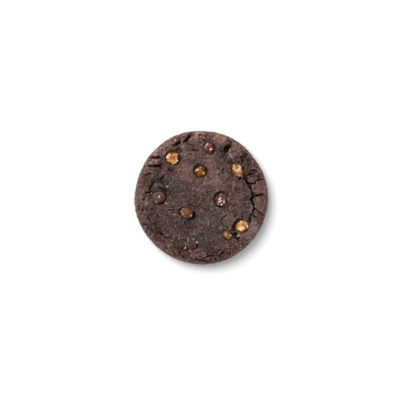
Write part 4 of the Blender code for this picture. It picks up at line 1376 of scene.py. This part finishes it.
def chip_material(name, chip, finish, tones, grain):
    """A chip's finish: its own colour, painted shade down its flank and in its dents, with burnt
    caramel there on caramel chips, painted highlights on its bumps, and a soft gloss.
    """
    material, tree, shader = new_material(name)
    fine = {"Vector": object_place(tree), "Scale": CHIP_SCALE, "Contrast": CHIP_CONTRAST}
    surface = use_group(tree, grain, fine)
    # Painted shade down the chip's flank.
    colour = mixed(tree, attribute(tree, "edge"), (*chip.colour, 1.0), finish.edge)
    colour = brightened(tree, colour, surface["Mottle"])
    # Painted shade in the dents and painted highlights on the bumps, from the tone.
    tone = {"Colour": colour, "Dark and shade": finish.dark_and_shade, "Pale and highlight": finish.pale_and_highlight}
    tone["Tone and painted light"] = attribute(tree, "tone")
    tree.links.new(use_group(tree, tones, tone)["Colour"], shader.inputs["Base Color"])
    shader.inputs["Roughness"].default_value = finish.roughness
    shader.inputs["Specular IOR Level"].default_value = finish.gloss
    roughened(tree, shader, *CHIP_BUMP, surface["Height"])
    return material


def make_chips(tones, grain):
    """Every chip with a finish of its own."""
    for name, chip in CHIPS.items():
        kind, _, number = name.split("_")
        make_chip(name, chip, chip_material(f"{kind} {number}", chip, FINISHES[kind], tones, grain))


# ------------------------------------------------------------------ floor, light and camera
PHOTO_PIXELS = 400
COOKIE_PIXEL = (201.3, 197.6)
METRES_PER_PIXEL = 0.6384 * MM
LENS = 300.0
SENSOR = 36.0
KEY_ELEVATION = 54.0
KEY_AZIMUTH = 133.0
KEY_SPREAD = 39.0
KEY_STRENGTH = 2.7
SKY_STRENGTH = 0.6
FLOOR_SIZE = 3.0
FLOOR_COLOUR = (0.92, 0.92, 0.92, 1.0)
SKY_COLOUR = (1.0, 1.0, 1.0, 1.0)


def make_floor():
    """A plain white table."""
    bm = bmesh.new()
    bmesh.ops.create_grid(bm, x_segments=1, y_segments=1, size=FLOOR_SIZE)
    material, _, shader = new_material("white table")
    shader.inputs["Base Color"].default_value = FLOOR_COLOUR
    shader.inputs["Roughness"].default_value = 1.0
    shader.inputs["Specular IOR Level"].default_value = 0.0
    add_piece("floor", bm, material)


def make_light():
    """A broad soft light from the upper left, and an even white sky."""
    key = bpy.data.lights.new("key", "SUN")
    key.energy = KEY_STRENGTH
    key.angle = math.radians(KEY_SPREAD)
    holder = bpy.data.objects.new("key", key)
    up = math.radians(KEY_ELEVATION)
    around = math.radians(KEY_AZIMUTH)
    level = math.cos(up)
    towards = Vector((math.cos(around) * level, math.sin(around) * level, math.sin(up)))
    holder.rotation_euler = towards.to_track_quat("Z", "Y").to_euler()
    bpy.context.scene.collection.objects.link(holder)
    world = bpy.data.worlds.new("white sky")
    world.use_nodes = True
    background = world.node_tree.nodes["Background"]
    background.inputs["Color"].default_value = SKY_COLOUR
    background.inputs["Strength"].default_value = SKY_STRENGTH
    bpy.context.scene.world = world


def make_camera():
    """Straight above, so that the cookie's middle and edge fall where the photograph has them."""
    camera = bpy.data.cameras.new("camera")
    camera.lens = LENS
    camera.sensor_width = SENSOR
    holder = bpy.data.objects.new("camera", camera)
    distance = PHOTO_PIXELS * METRES_PER_PIXEL * LENS / SENSOR
    across = (PHOTO_PIXELS / 2 - COOKIE_PIXEL[0]) * METRES_PER_PIXEL
    down = (COOKIE_PIXEL[1] - PHOTO_PIXELS / 2) * METRES_PER_PIXEL
    holder.location = (across, down, WIDEST_HEIGHT + distance)
    bpy.context.scene.collection.objects.link(holder)
    bpy.context.scene.camera = holder
    bpy.context.scene.view_settings.view_transform = "Standard"


def main():
    make_camera()
    make_floor()
    make_light()
    tones = tone_group()
    grain = grain_group()
    make_crust(dough_material(tones, grain))
    make_chips(tones, grain)


main()
